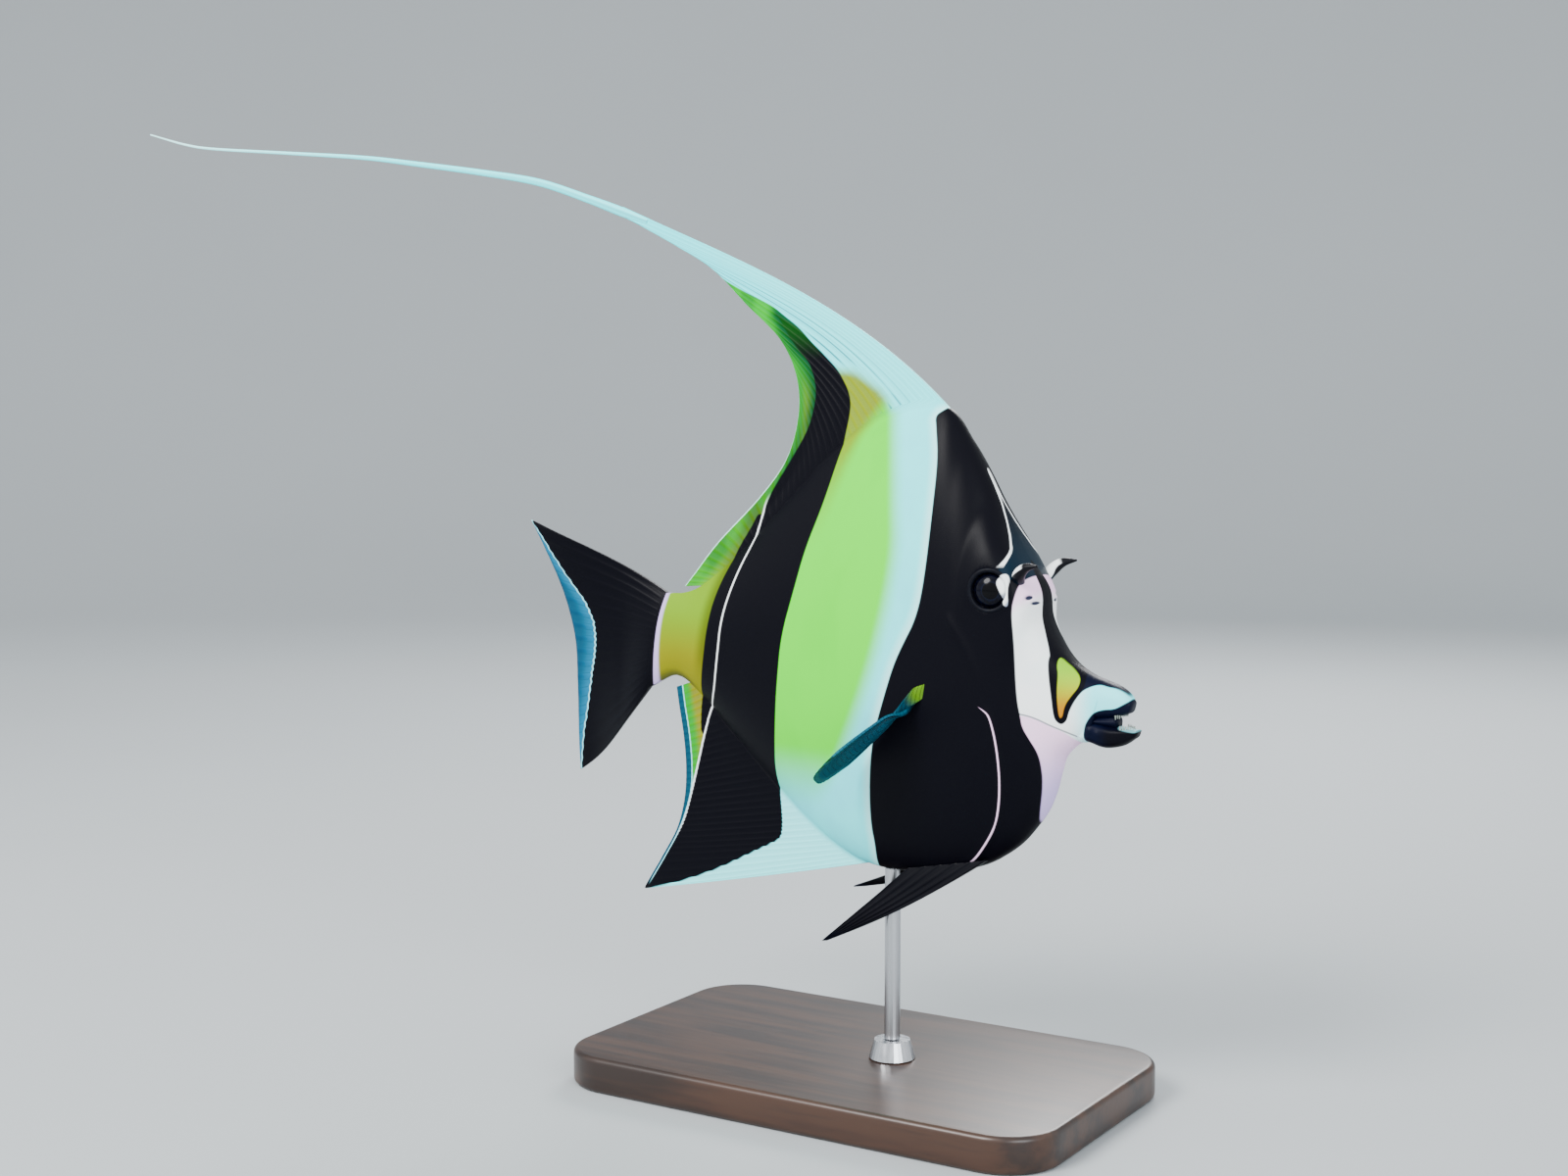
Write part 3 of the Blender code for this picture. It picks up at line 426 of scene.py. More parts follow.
def face_outwards(mesh):
    """Turns a closed mesh inside out if its volume is negative."""
    mesh.calc_loop_triangles()
    corners = np.empty(len(mesh.loop_triangles) * 3, np.int32)
    mesh.loop_triangles.foreach_get("vertices", corners)
    where = np.empty(len(mesh.vertices) * 3)
    mesh.vertices.foreach_get("co", where)
    a, b, c = where.reshape(-1, 3)[corners.reshape(-1, 3)].transpose(1, 0, 2)
    if np.einsum("ij,ij->i", a, np.cross(b, c)).sum() < 0:
        mesh.flip_normals()


def make_piece(name, points, faces, side=-1, material=None):
    """A piece from places in mm. Side 1 mirrors it to the fish's left."""
    points = np.asarray(points)
    if side > 0:
        points, faces = points * (1, -1, 1), [f[::-1] for f in faces]
    mesh = bpy.data.meshes.new(name)
    mesh.from_pydata((points * MM).tolist(), [], faces)
    mesh.shade_smooth()
    face_outwards(mesh)
    if material is not None:
        mesh.materials.append(material)
    made = bpy.data.objects.new(name, mesh)
    scene.collection.objects.link(made)
    return made


def store(piece, **values):
    """Keeps numbers on the mesh for the materials. Numbers for the near half alone go to its mirror too."""
    for name, numbers in values.items():
        made = piece.data.attributes.new(name, "FLOAT", "POINT")
        made.data.foreach_set("value", np.resize(np.asarray(numbers, np.float32), len(made.data)))


print("a grid of 3 by 3 closes to", len(closed_sheet(grid_faces(np.arange(9).reshape(3, 3)), 9)), "faces")

# %% [markdown]
# ## The skin
#
# The grid of each fin takes its first row from the trunk's rim, so the fins grow out of the trunk with
# shared vertices.

# %% The skin
body_index, dorsal_index, anal_index, tail_index = (
    start + np.arange(math.prod(shape)).reshape(shape) for start, shape in zip(STARTS, SHAPES)
)
dorsal_index = np.hstack([body_index[dorsal_columns, -1:], dorsal_index])
anal_index = np.hstack([body_index[anal_columns, :1], anal_index])
tail_index = np.vstack([body_index[-1:], tail_index])
near_faces = np.concatenate([
    grid_faces(body_index), grid_faces(dorsal_index), grid_faces(anal_index, True), grid_faces(tail_index),
])
faces = closed_sheet(near_faces, len(near_x))
points = np.concatenate([
    np.stack([near_x, lean - near_half, near_z], -1), np.stack([near_x, lean + near_half, near_z], -1),
])
skin = make_piece("skin", points, faces)
print("skin:", len(points), "vertices,", len(faces) * 2, "triangles")

# %% [markdown]
# ## Where the markings are
#
# Each marking is an outline on the flank in x and z. Every vertex keeps its distance to each outline, in
# mm, so a material can turn it to a crisp edge of any softness. Both flanks carry the same markings. The
# lines down the forehead turn round to its front, so they are kept as a half width against the height
# instead: NAPE for the white line above the eye and STRIPE for the black one between the horns, which
# narrows to nothing.

# %% Where the markings are
AREAS = {
    "front_dark": [
        (30, 193), (26, 190), (23.8, 188.4), (24.9, 185.6), (27.3, 176.6), (27.2, 161.2), (26, 145.6),
        (23.9, 135.1), (19.4, 127), (16.7, 121.5), (13.3, 111.4), (10, 101.2), (8.4, 89.1), (7.6, 76.4),
        (7.9, 71.3), (7, 65.4), (6, 58), (44, 56), (60, 74), (95, 98), (95, 125), (64, 150), (44, 190),
        (34, 200),
    ],
    "rear_dark": [
        (-28, 216.4), (-26, 215.2), (-20.5, 212.4), (-16.4, 208.3), (-11.9, 204.7), (-7.7, 200.9),
        (-5.5, 197.4), (-4.1, 194.8), (-3.2, 190.7), (-5.6, 180.8), (-7.7, 170.3), (-9.7, 162.5),
        (-13.7, 151.7), (-16.6, 140.2), (-20.5, 127), (-21.8, 115.4), (-23.7, 99.2), (-26.6, 85.1),
        (-25.4, 73.7), (-25.6, 70.5), (-26.1, 68.2), (-28.5, 66.6), (-35.3, 63.2), (-48.9, 56.1),
        (-63.9, 50.3), (-72.8, 48), (-80, 45), (-80, 54), (-72, 55), (-69.7, 56.6), (-64.2, 62.8),
        (-60, 69.4), (-57.2, 77.8), (-54.6, 87), (-52.2, 96.4), (-50, 102.6), (-46.4, 109), (-44.9, 114),
        (-43.5, 122.2), (-42.9, 128.1), (-41.3, 135.2), (-37.9, 145), (-34.4, 152.4), (-32.5, 158.5),
        (-30.9, 164.9), (-22.8, 176.2), (-17.3, 184.5), (-15.4, 190.7), (-14.8, 194.8), (-15.4, 198.8),
        (-17.3, 203.4), (-20.5, 206.2), (-23.8, 210.3), (-26.3, 214.4),
    ],
    "hind": [
        (-48.5, 228.6), (-45.3, 226.4), (-39.4, 223.4), (-33.5, 220.8), (-28.6, 218.5), (-25.3, 216),
        (-20.3, 212.6), (-16.3, 208.5), (-11.9, 204.8), (-10, 202), (-11, 195), (-14, 184), (-28, 160),
        (-36, 140), (-40, 115), (-50, 90), (-60, 60), (-69.7, 54), (-130, 40), (-130, 160), (-60, 230),
    ],
    "hind_strip": [
        (-34, 160.6), (-35.3, 158), (-40.9, 149.7), (-45.9, 138.1), (-48.2, 127.8), (-49.9, 116.9),
        (-53, 106.8), (-53.9, 99.8), (-53.5, 95), (-47, 96), (-40, 117), (-36, 137), (-31, 156), (-32, 160),
    ],
    "yellow": [
        (4, 196.6), (8.4, 193.8), (10.4, 190), (13.5, 177.7), (15.6, 163.4), (16.9, 153), (14.6, 137.2),
        (10.2, 121.1), (3.8, 104.5), (-3.7, 90), (-14, 76), (-60, 80), (-50, 202), (-10, 202), (-2, 200),
    ],
    "corner": [
        (-12, 201), (-5.5, 201.2), (-2, 200.8), (1, 199), (4, 197), (8.4, 194.2), (6.4, 190.6), (2.6, 186.4),
        (-0.6, 182), (-2.8, 176), (-5.4, 168), (-8.6, 158), (-13, 146), (-16.8, 134), (-30, 130), (-40, 190),
    ],
    "face": [
        (53.4, 146.6), (52.5, 144.8), (52, 142.2), (51.2, 138.2), (51.6, 131), (51.8, 121), (52.3, 114.6),
        (53.1, 110.5), (53.5, 107.6), (55.1, 104.6), (56.8, 101.4), (57.5, 98.2), (57.6, 92.3), (56, 84.3),
        (54, 78), (60, 72), (75, 92), (71, 99), (69.2, 103), (68.5, 105.7), (68.9, 108.3), (70, 110.4),
        (71.6, 112.4), (74.3, 113.2), (76.9, 113.4), (79.1, 114.7), (80.7, 115.8), (80.2, 116.5),
        (78.5, 117.8), (76.6, 118.6), (75, 118.8), (72.6, 119.4), (70.6, 118.9), (68.3, 117.6),
        (66.4, 114.6), (65.1, 111.6), (64.3, 109.4), (63.3, 108.6), (62.2, 109.3), (61.4, 111),
        (60.5, 117.7), (59.7, 123.8), (59.5, 126.8), (63, 130), (62, 140), (58, 146), (54.4, 147.4),
    ],
    "saddle": [
        (61.5, 126.3), (61.6, 123.8), (62.3, 121.8), (62.2, 116.5), (62.5, 112.7), (62.9, 110.4),
        (63.6, 110.3), (64.2, 113.8), (65.9, 116.4), (67.5, 118.6), (67.6, 120.9), (65.4, 123),
        (63.3, 124.6),
    ],
    "rose": [(50, 150), (50, 136), (53, 139), (57, 141), (60, 150)],
    "throat": [
        (52, 110.9), (55.3, 110.5), (57.7, 109.6), (60.1, 108.4), (62.5, 107.3), (64.3, 106.4), (66, 104.6),
        (72, 100), (66, 88), (60, 70), (44, 60), (50, 100),
    ],
    "lip_rim": [(76.6, 109.2), (79.2, 108.8), (82.4, 108.4), (82.4, 107.3), (79.2, 107.7), (77.2, 108.1)],
    "tear": [
        (49.7, 147.8), (48.3, 147.4), (47, 145.8), (48, 143.4), (48.9, 141), (49.5, 139.2), (50.3, 139.2),
        (50.5, 141), (50.3, 143.4), (50.6, 146),
    ],
}
LINES = {
    "gill_line": [(40.2, 113.4), (42.5, 112.3), (43.6, 111.6), *GILL_EDGE[4:], (32, 66.4)],
    "cheek_line": [
        (52, 111.2), (55.3, 110.6), (57.7, 109.7), (60.1, 108.5), (62.5, 107.5), (64.3, 106.7),
        (66.5, 105.6),
    ],
}
NAPE = np.array([
    (146, 13.4), (149.6, 11.7), (151.3, 9.9), (153.6, 6.7), (157.3, 4.2), (161, 2.4), (165.5, 0.9),
    (169.8, 0.5), (173.5, 0.35), (176.5, -0.6),
])
STRIPE = np.array([
    (124, 7.2), (126.5, 6.2), (128.7, 5.4), (133, 4.1), (137.5, 3.3), (140.4, 3), (143, 2.8), (146, 2.4),
    (149, 1.4), (152, -0.6), (160, -6),
])


def inside_half_width(pz, half, table):
    """Distance in mm to a line kept as a half width for each height, below 0 towards the middle plane."""
    middles, slopes = table[:-1, 0] + np.diff(table[:, 0]) / 2, np.diff(table[:, 1]) / np.diff(table[:, 0])
    return (half - np.interp(pz, *table.T)) / np.hypot(1, np.interp(pz, middles, slopes))


def store_markings(piece, px, pz, half):
    values = {name: area_distance(px, pz, outline) for name, outline in AREAS.items()}
    values.update({name: segment_distances(px, pz, line, False) for name, line in LINES.items()})
    behind_eye = px < np.interp(pz, (146, 150, 160, 172), (46.5, 46, 40, 32))
    values["nape"] = np.where((pz < 146) | behind_eye, 40.0, inside_half_width(pz, half, NAPE))
    values["stripe"] = np.where((pz < 122) | (px < 50), 40.0, inside_half_width(pz, half, STRIPE))
    store(piece, half_mm=half, height_mm=pz, length_mm=px, **values)


store_markings(skin, near_x, near_z, near_half)
store(skin, **fields)
print("markings:", ", ".join([*AREAS, *LINES]))

# %% [markdown]
# ## A short way to write node trees
#
# The materials below are built from the same few nodes, so these helpers add a node, feed its sockets and
# hand back its output. A socket is fed with a number, a link, or the name of a number that the mesh keeps.

# %% A short way to write node trees
SOCKETS = {"roughness": "Roughness", "specular": "Specular IOR Level", "metallic": "Metallic"}


def tone(red, green, blue):
    """A colour given as 0 to 255 on the screen, as the shader wants it."""
    shares = (red / 255, green / 255, blue / 255)
    return (*(((c + 0.055) / 1.055) ** 2.4 if c > 10 / 255 else c / 12.92 for c in shares), 1.0)


class Tree:
    def __init__(self, tree):
        self.tree = tree
        self.read = {}

    def node(self, kind, inputs=None, **settings):
        made = self.tree.nodes.new(kind)
        for name, value in settings.items():
            setattr(made, name, value)
        for key, value in (inputs or {}).items():
            self.feed(made.inputs[key], value)
        made.location = (180 * (len(self.tree.nodes) % 12), -160 * (len(self.tree.nodes) // 12))
        return made

    def feed(self, socket, value):
        if isinstance(value, str):
            value = self.kept(value)
        if isinstance(value, bpy.types.NodeSocket):
            self.tree.links.new(value, socket)
        else:
            socket.default_value = value

    def kept(self, name):
        if name not in self.read:
            self.read[name] = self.node("ShaderNodeAttribute", attribute_name=name).outputs["Fac"]
        return self.read[name]

    def math(self, operation, a, b=0.0):
        return self.node("ShaderNodeMath", {0: a, 1: b}, operation=operation).outputs[0]

    def plus(self, a, b):
        return self.math("ADD", a, b)

    def less(self, a, b):
        return self.math("SUBTRACT", a, b)

    def most(self, a, b):
        return self.math("MAXIMUM", a, b)

    def times(self, product, *others):
        for other in others:
            product = self.math("MULTIPLY", product, other)
        return product

    def swing(self, value):
        """0.5 where value is a whole number, 0 half-way between."""
        return self.math("ABSOLUTE", self.less(self.math("FRACT", value), 0.5))

    def step(self, value, start, end):
        """0 where value is below start, 1 above end, smooth between. start may be above end."""
        return self.node(
            "ShaderNodeMapRange", {"Value": value, "From Min": start, "From Max": end},
            interpolation_type="SMOOTHSTEP",
        ).outputs["Result"]

    def band(self, value, low, high, soft):
        return self.times(self.step(value, low - soft, low + soft), self.step(value, high + soft, high - soft))

    def mix(self, under, over, *masks):
        """One colour painted over another where every mask is 1."""
        inputs = {0: self.times(*masks), 6: under, 7: over}
        return self.node("ShaderNodeMix", inputs, data_type="RGBA").outputs[2]

    def noise(self, scale, detail=2.0, stretch=(1, 1, 1)):
        place = self.node("ShaderNodeTexCoord").outputs["Object"]
        place = self.node("ShaderNodeMapping", {"Vector": place, "Scale": stretch}).outputs[0]
        return self.node("ShaderNodeTexNoise", {"Vector": place, "Scale": scale, "Detail": detail}).outputs[0]

    def placed(self, group, values):
        """The outputs of a node group that is placed here with its own values."""
        return self.node("ShaderNodeGroup", values, node_tree=group).outputs

    def bump(self, height, distance, strength=1.0, under=None):
        made = self.node("ShaderNodeBump", {"Height": height, "Distance": distance, "Strength": strength})
        if under is not None:
            self.feed(made.inputs["Normal"], under)
        return made.outputs[0]


print("node helpers:", ", ".join(name for name in vars(Tree) if not name.startswith("_")))

# %% [markdown]
# ## Groups and materials
#
# The markings and the fin rays are node groups with named inputs, so that a material can place them with
# values of its own. Each material starts as the Principled shader with its own numbers.

# %% Groups and materials
def node_group(name, inputs, outputs):
    """An empty shader group as a Tree, its given numbers and its output node."""
    group = bpy.data.node_groups.new(name, "ShaderNodeTree")
    for label, number in inputs.items():
        socket = group.interface.new_socket(name=label, in_out="INPUT", socket_type="NodeSocketFloat")
        socket.default_value = number
    for label, kind in outputs:
        group.interface.new_socket(name=label, in_out="OUTPUT", socket_type=kind)
    given = group.nodes.new("NodeGroupInput").outputs
    return Tree(group), given, group.nodes.new("NodeGroupOutput")


def new_material(name, **numbers):
    """A material with numbers for its shader's sockets, as the material, its Tree and its shader."""
    made = bpy.data.materials.new(name)
    made.use_nodes = True
    shader = made.node_tree.nodes["Principled BSDF"]
    for socket, number in numbers.items():
        shader.inputs[SOCKETS[socket]].default_value = number
    return made, Tree(made.node_tree), shader


print("numbers a material can start with:", ", ".join(SOCKETS))

# %% [markdown]
# ## Colours of the markings
#
# This group reads the distances and paints from the back layer to the front one. First come the pale flank
# and fins, then the yellow behind them and the olive corner of the dorsal fin. The tones are darker than
# the living fish's, because the picture's view transform lifts them.

# %% Colours of the markings
PALE, SNOW, FIN_WHITE = tone(90, 242, 246), tone(246, 250, 250), tone(70, 244, 252)
LIME, STALK, GOLD, OLIVE = tone(70, 224, 6), tone(111, 153, 3), tone(127, 127, 3), tone(66, 76, 6)
CORNER, GREEN, LEAF = tone(124, 140, 4), tone(8, 168, 3), tone(4, 64, 8)
INK, TEAL, DEEP = tone(2, 2, 9), tone(4, 26, 40), tone(4, 12, 40)
LAVENDER, ROSE, MIST = tone(190, 170, 220), tone(246, 206, 240), tone(150, 228, 240)
YELLOW, ORANGE = tone(160, 178, 0), tone(178, 116, 0)
CYAN, TAIL_BLUE, RIM_BLUE = tone(5, 112, 150), tone(5, 70, 100), tone(4, 62, 84)

GRAIN_SIZES = {"Mottle Scale": 55.0, "Streak Scale": 260.0}
g, given, g_out = node_group(
    "markings", GRAIN_SIZES, [("Colour", "NodeSocketColor"), ("Dark", "NodeSocketFloat")],
)
mix, step, band, times = g.mix, g.step, g.band, g.times
z_mm, x_mm, number, margin = "height_mm", "length_mm", "ray_number", "to_margin"
mottle = g.noise(given["Mottle Scale"], 3.0)
streak = g.noise(given["Streak Scale"], 2.0, (0.35, 1.0, 0.12))
ragged = times(g.math("FRACT", times(number, 1.6)), "on_anal", step(z_mm, 88.0, 66.0))
rear = g.plus("rear_dark", times(ragged, -0.35))
rear_band = step(rear, -0.25, 0.2)

pale = mix(PALE, tone(92, 226, 236), step(mottle, 0.3, 0.75))
pale = mix(pale, tone(170, 248, 248), step("front_dark", -3.2, 0.0))
lime = mix(LIME, tone(52, 204, 4), step(streak, 0.45, 0.75), 0.25)
colour = mix(pale, lime, step("yellow", -3.4, 3.4), step(z_mm, 76.0, 98.0))
colour = mix(colour, CORNER, step("corner", -2.6, 2.6), step(z_mm, 148.0, 190.0))
fin_white = mix(FIN_WHITE, tone(96, 246, 250), step(margin, 16.0, 60.0))
colour = mix(colour, fin_white, "on_dorsal", step(g.most("corner", "yellow"), 2.4, -2.0))
colour = mix(colour, tone(130, 244, 248), "on_anal", step(margin, 0.0, 1.0))
print("flank painted with", len(g.tree.nodes), "nodes")

# %% [markdown]
# ## Behind the rear band
#
# The tail stalk is yellow and the fins above and below it turn green towards their margins. A narrow black
# strip and a white line run down beside the black band. The band's upper end fades into dark green.

# %% Behind the rear band
fin_green = mix(tone(50, 152, 3), GREEN, step(z_mm, 166.0, 214.0))
fin_green = mix(fin_green, LEAF, step(streak, 0.42, 0.6), 0.45)
hind = mix(GOLD, STALK, step(z_mm, 117.0, 133.0))
hind = mix(hind, fin_green, "on_dorsal", step(margin, 9.0, 3.0))
hind = mix(hind, fin_green, "on_dorsal", step(z_mm, 186.0, 202.0))
hind = mix(hind, tone(20, 150, 10), "on_anal", step(margin, 6.5, 3.5))
hind = mix(hind, MIST, "on_anal", step(z_mm, 85.0, 77.0))
hind = mix(hind, OLIVE, step("hind_strip", -4.6, -0.3), step(z_mm, 108.0, 122.0), 0.7)
hind = mix(hind, LEAF, step(rear, -5.0, 0.0), step(z_mm, 160.0, 172.0), step(streak, 0.2, 0.55))
strip = step("hind_strip", -0.3, 0.2)
hind = mix(hind, INK, strip)
under_stalk = times(step("half_mm", 2.4, 1.1), step(z_mm, 118.0, 114.0), step(x_mm, -52.0, -58.0))
hind = mix(hind, TEAL, under_stalk, step("on_anal", 0.5, 0.0), 0.6)
hind = mix(hind, SNOW, step(rear, -0.72, -0.45), step(z_mm, 167.0, 160.0))
colour = mix(colour, hind, step("hind", -0.2, 0.2))
upper_end = step(g.plus(z_mm, times(streak, 14.0)), 222.0, 211.0)
colour = mix(colour, INK, rear_band, g.most(upper_end, step("hind", 0.2, -0.2)))
print("rear painted,", len(g.tree.nodes), "nodes")

# %% [markdown]
# ## Fine lines and rims of the fins
#
# Dark hairlines follow the rays over the white part of the dorsal fin. That fin has a thin pale rim, and
# the anal fin has a blue one with a pale line inside it.

# %% Fine lines and rims of the fins
hairs = times("on_dorsal", step(g.swing(times(number, 0.7)), 0.14, 0.04), step(number, 2.5, 8.0))
hairs = times(hairs, step(rear, -0.6, -1.6), step("corner", 0.0, -3.0), step("hind", 0.0, -0.6))
colour = mix(colour, tone(8, 100, 118), hairs, 0.8)
colour = mix(colour, tone(190, 240, 226), "on_dorsal", step(number, 1.6, 3.0), step(margin, 0.45, 0.2))
anal_rim = times("on_anal", step(number, 1.2, 3.0))
inside_rim = g.less(g.plus(times(step(z_mm, 66.0, 82.0), 1.2), 0.9), margin)
colour = mix(colour, MIST, anal_rim, band(inside_rim, -0.3, 0.05, 0.12))
colour = mix(colour, RIM_BLUE, anal_rim, step(inside_rim, 0.0, 0.2))
print("rims painted,", len(g.tree.nodes), "nodes")

# %% [markdown]
# ## The head's markings
#
# The front band is black, with a painted teal sheen on the nape behind its white line. On it lie the white
# face with its rose brow and throat, the two nostrils, the black stripe between the horns and the yellow
# saddle with its black border.

# %% The head's markings
# Painted sheen: the forehead between the white lines is teal, fading to black towards the top.
head = mix(INK, mix(INK, TEAL, step(z_mm, 170.0, 150.0)), step("nape", 0.25, -0.25))
head = mix(head, SNOW, band("nape", -0.4, 0.3, 0.1), step(z_mm, 149.0, 150.2))
head = mix(head, DEEP, step("face", -7.0, -2.5), step(x_mm, 63.5, 67.0), 0.5)
gill_width = times(g.most(step(x_mm, 40.6, 46.8), step(z_mm, 86.0, 78.0)), 0.2)
gill_line = g.less(g.math("ABSOLUTE", "gill_line"), gill_width)
head = mix(head, ROSE, step(gill_line, 0.14, -0.08), step(gill_width, 0.02, 0.08))
head = mix(head, mix(SNOW, tone(140, 150, 170), step(z_mm, 144.5, 141.0)), step("tear", -0.15, 0.15))
white = mix(SNOW, tone(226, 244, 246), step(mottle, 0.5, 0.8))
white = mix(white, ROSE, step("rose", -1.0, 2.5))
white = mix(white, tone(120, 240, 248), step(x_mm, 64.0, 72.0))
white = mix(white, mix(ROSE, LAVENDER, step(z_mm, 106.0, 88.0)), step("throat", -0.1, 0.3))
white = mix(white, tone(60, 60, 84), step(g.math("ABSOLUTE", "cheek_line"), 0.34, 0.1), 0.75)
head = mix(head, white, step("face", -0.2, 0.2))
from_side = {0: g.node("ShaderNodeTexCoord").outputs["Object"], 1: (1, 0, 1)}
from_side = g.node("ShaderNodeVectorMath", from_side, operation="MULTIPLY").outputs[0]
# Painted shade: each nostril pit is painted dark towards its middle.
for nx, nz, radius in NOSTRILS:
    away = {0: from_side, 1: (nx * MM, 0, nz * MM)}
    away = g.node("ShaderNodeVectorMath", away, operation="DISTANCE").outputs["Value"]
    head = mix(head, tone(40, 44, 66), step(away, radius * 0.95 * MM, radius * 0.55 * MM))
head = mix(head, INK, step("stripe", 0.15, -0.15))
head = mix(head, tone(110, 168, 176), step("lip_rim", -0.2, 0.25), 0.8)
head = mix(head, INK, band("saddle", -1.3, 0.1, 0.15))
gold = mix(YELLOW, tone(130, 190, 0), step(z_mm, 117.0, 124.0))
head = mix(head, mix(gold, ORANGE, step(z_mm, 120.0, 112.0)), step("saddle", -0.15, 0.2))
front_band = step("front_dark", -0.25, 0.2)
colour = mix(colour, head, front_band)
print("head painted,", len(g.tree.nodes), "nodes")

# %% [markdown]
# ## The tail fin's markings
#
# A pale strip crosses the root of the tail fin, then comes black, then a ragged white line and a blue
# margin. The group also hands out where the skin is dark, because dark skin shines differently.

# %% The tail fin's markings
slant = mix((0.6, 0.6, 0.6, 1), (1.5, 1.5, 1.5, 1), step(z_mm, 132.0, 112.0))
root_at = g.plus("behind_stalk", slant)
colour = mix(colour, LAVENDER, step(root_at, -1.4, -0.5))
ray_swing = g.swing(times(number, 2.0))
tail_edge = g.plus("tail_margin", times(g.plus(ray_swing, streak), 0.8))
blue = mix(CYAN, TAIL_BLUE, step(tail_edge, 1.5, 6.5))
blue = mix(blue, tone(8, 70, 100), step(ray_swing, 0.14, 0.02), 0.45)
tail = mix(INK, blue, step(tail_edge, 0.75, 1.2))
tail = mix(tail, MIST, band(tail_edge, 0.55, 1.15, 0.12))
past_root = step(root_at, 0.3, 0.6)
colour = mix(colour, tail, past_root, step("behind_stalk", -30.0, -20.0))
g.feed(g_out.inputs["Colour"], colour)
tail_black = times(past_root, step(tail_edge, 1.2, 0.75))
g.feed(g_out.inputs["Dark"], g.most(g.most(front_band, rear_band), g.most(strip, tail_black)))
markings = g.tree
print("marking group:", len(markings.nodes), "nodes")

# %% [markdown]
# ## Fin rays as a mask
#
# Between two rays the membrane is thinner, a little darker and lower. One group turns the ray's number to a
# line that is 1 on the ray, for the skin and for the paired fins alike.

# %% Fin rays as a mask
RAY_SHAPE = {"Number": 0.0, "Foot": 0.22, "Crest": 0.44}
g, given, g_out = node_group("ray_lines", RAY_SHAPE, [("Ray", "NodeSocketFloat")])
g.feed(g_out.inputs["Ray"], g.step(g.swing(given["Number"]), given["Foot"], given["Crest"]))
ray_lines = g.tree
print("ray group:", len(ray_lines.nodes), "nodes")

# %% [markdown]
# ## The skin's material
#
# Scales as small as sand give the flank its velvet look, so they are a fine bump. Dark skin is a little
# glossier than pale skin, and the fins show their rays as streaks.

# %% The skin's material
fish_skin, t, shader = new_material("fish_skin", specular=0.08)
marks = t.placed(markings, GRAIN_SIZES)
ray = t.placed(ray_lines, {**RAY_SHAPE, "Number": "ray_number"})["Ray"]
on_fin = t.most(t.most("on_dorsal", "on_anal"), "on_tail")
between = t.times(on_fin, t.less(1.0, ray), t.less(1.0, marks["Dark"]))
t.feed(shader.inputs["Base Color"], t.mix(marks["Colour"], tone(30, 120, 130), between, 0.08))
t.feed(shader.inputs["Roughness"], t.mix((0.5, 0.5, 0.5, 1), (0.42, 0.42, 0.42, 1), marks["Dark"]))
cells = {"Vector": t.node("ShaderNodeTexCoord").outputs["Object"], "Scale": 2600.0}
cells = t.node("ShaderNodeTexVoronoi", cells, feature="DISTANCE_TO_EDGE").outputs[0]
scales = t.bump(t.step(cells, 0.0, 0.35), 0.00003, 0.35)
t.feed(shader.inputs["Normal"], t.bump(t.times(on_fin, ray), 0.00012, 0.4, scales))
skin.data.materials.append(fish_skin)
print("skin material:", len(fish_skin.node_tree.nodes), "nodes")

# %% [markdown]
# ## Jaws
#
# The snout ends in two short jaws, each a loft between an upper and a lower line. They start a little
# inside the head and carry on its markings. The same loft makes the dark skin that joins them at the back
# of the open mouth, and a few soft lumps are the folds where the lips meet. The mouth has to look soft
# there, not cut.

# %% Jaws
UPPER_JAW = [
    (71, 120.9, 68, 109.2, 5), (74, 120, 70.9, 109.9, 4.55), (77, 118.9, 74.6, 110.6, 4.1),
    (79.4, 117.3, 77.8, 111.3, 3.4), (80.8, 115.4, 80, 112.2, 2.2),
]
LOWER_JAW = [
    (67.5, 110.4, 66.6, 103.4, 5), (70.9, 109.9, 69, 103.8, 4.55), (75, 108.8, 73.4, 102.7, 4),
    (79.2, 108.4, 78.2, 103.6, 3.2), (82.2, 108, 81.6, 105.8, 2),
]
MOUTH_SKIN = [
    (69.6, 110.8, 69.6, 108.8, 3.8), (72.6, 111.2, 72.8, 108.2, 3.3), (76.2, 111.8, 76.8, 107.6, 2.4),
]
FOLDS = [
    (68, 108.6, 1.1, 0.45), (70.2, 107.4, 0.9, 0.4), (72.4, 106.6, 0.9, 0.35), (71.6, 111.6, 1, 0.4),
    (69.4, 105.2, 0.9, 0.3),
]
LIP_EDGE, LIP_SWELL = 0.3, 0.35


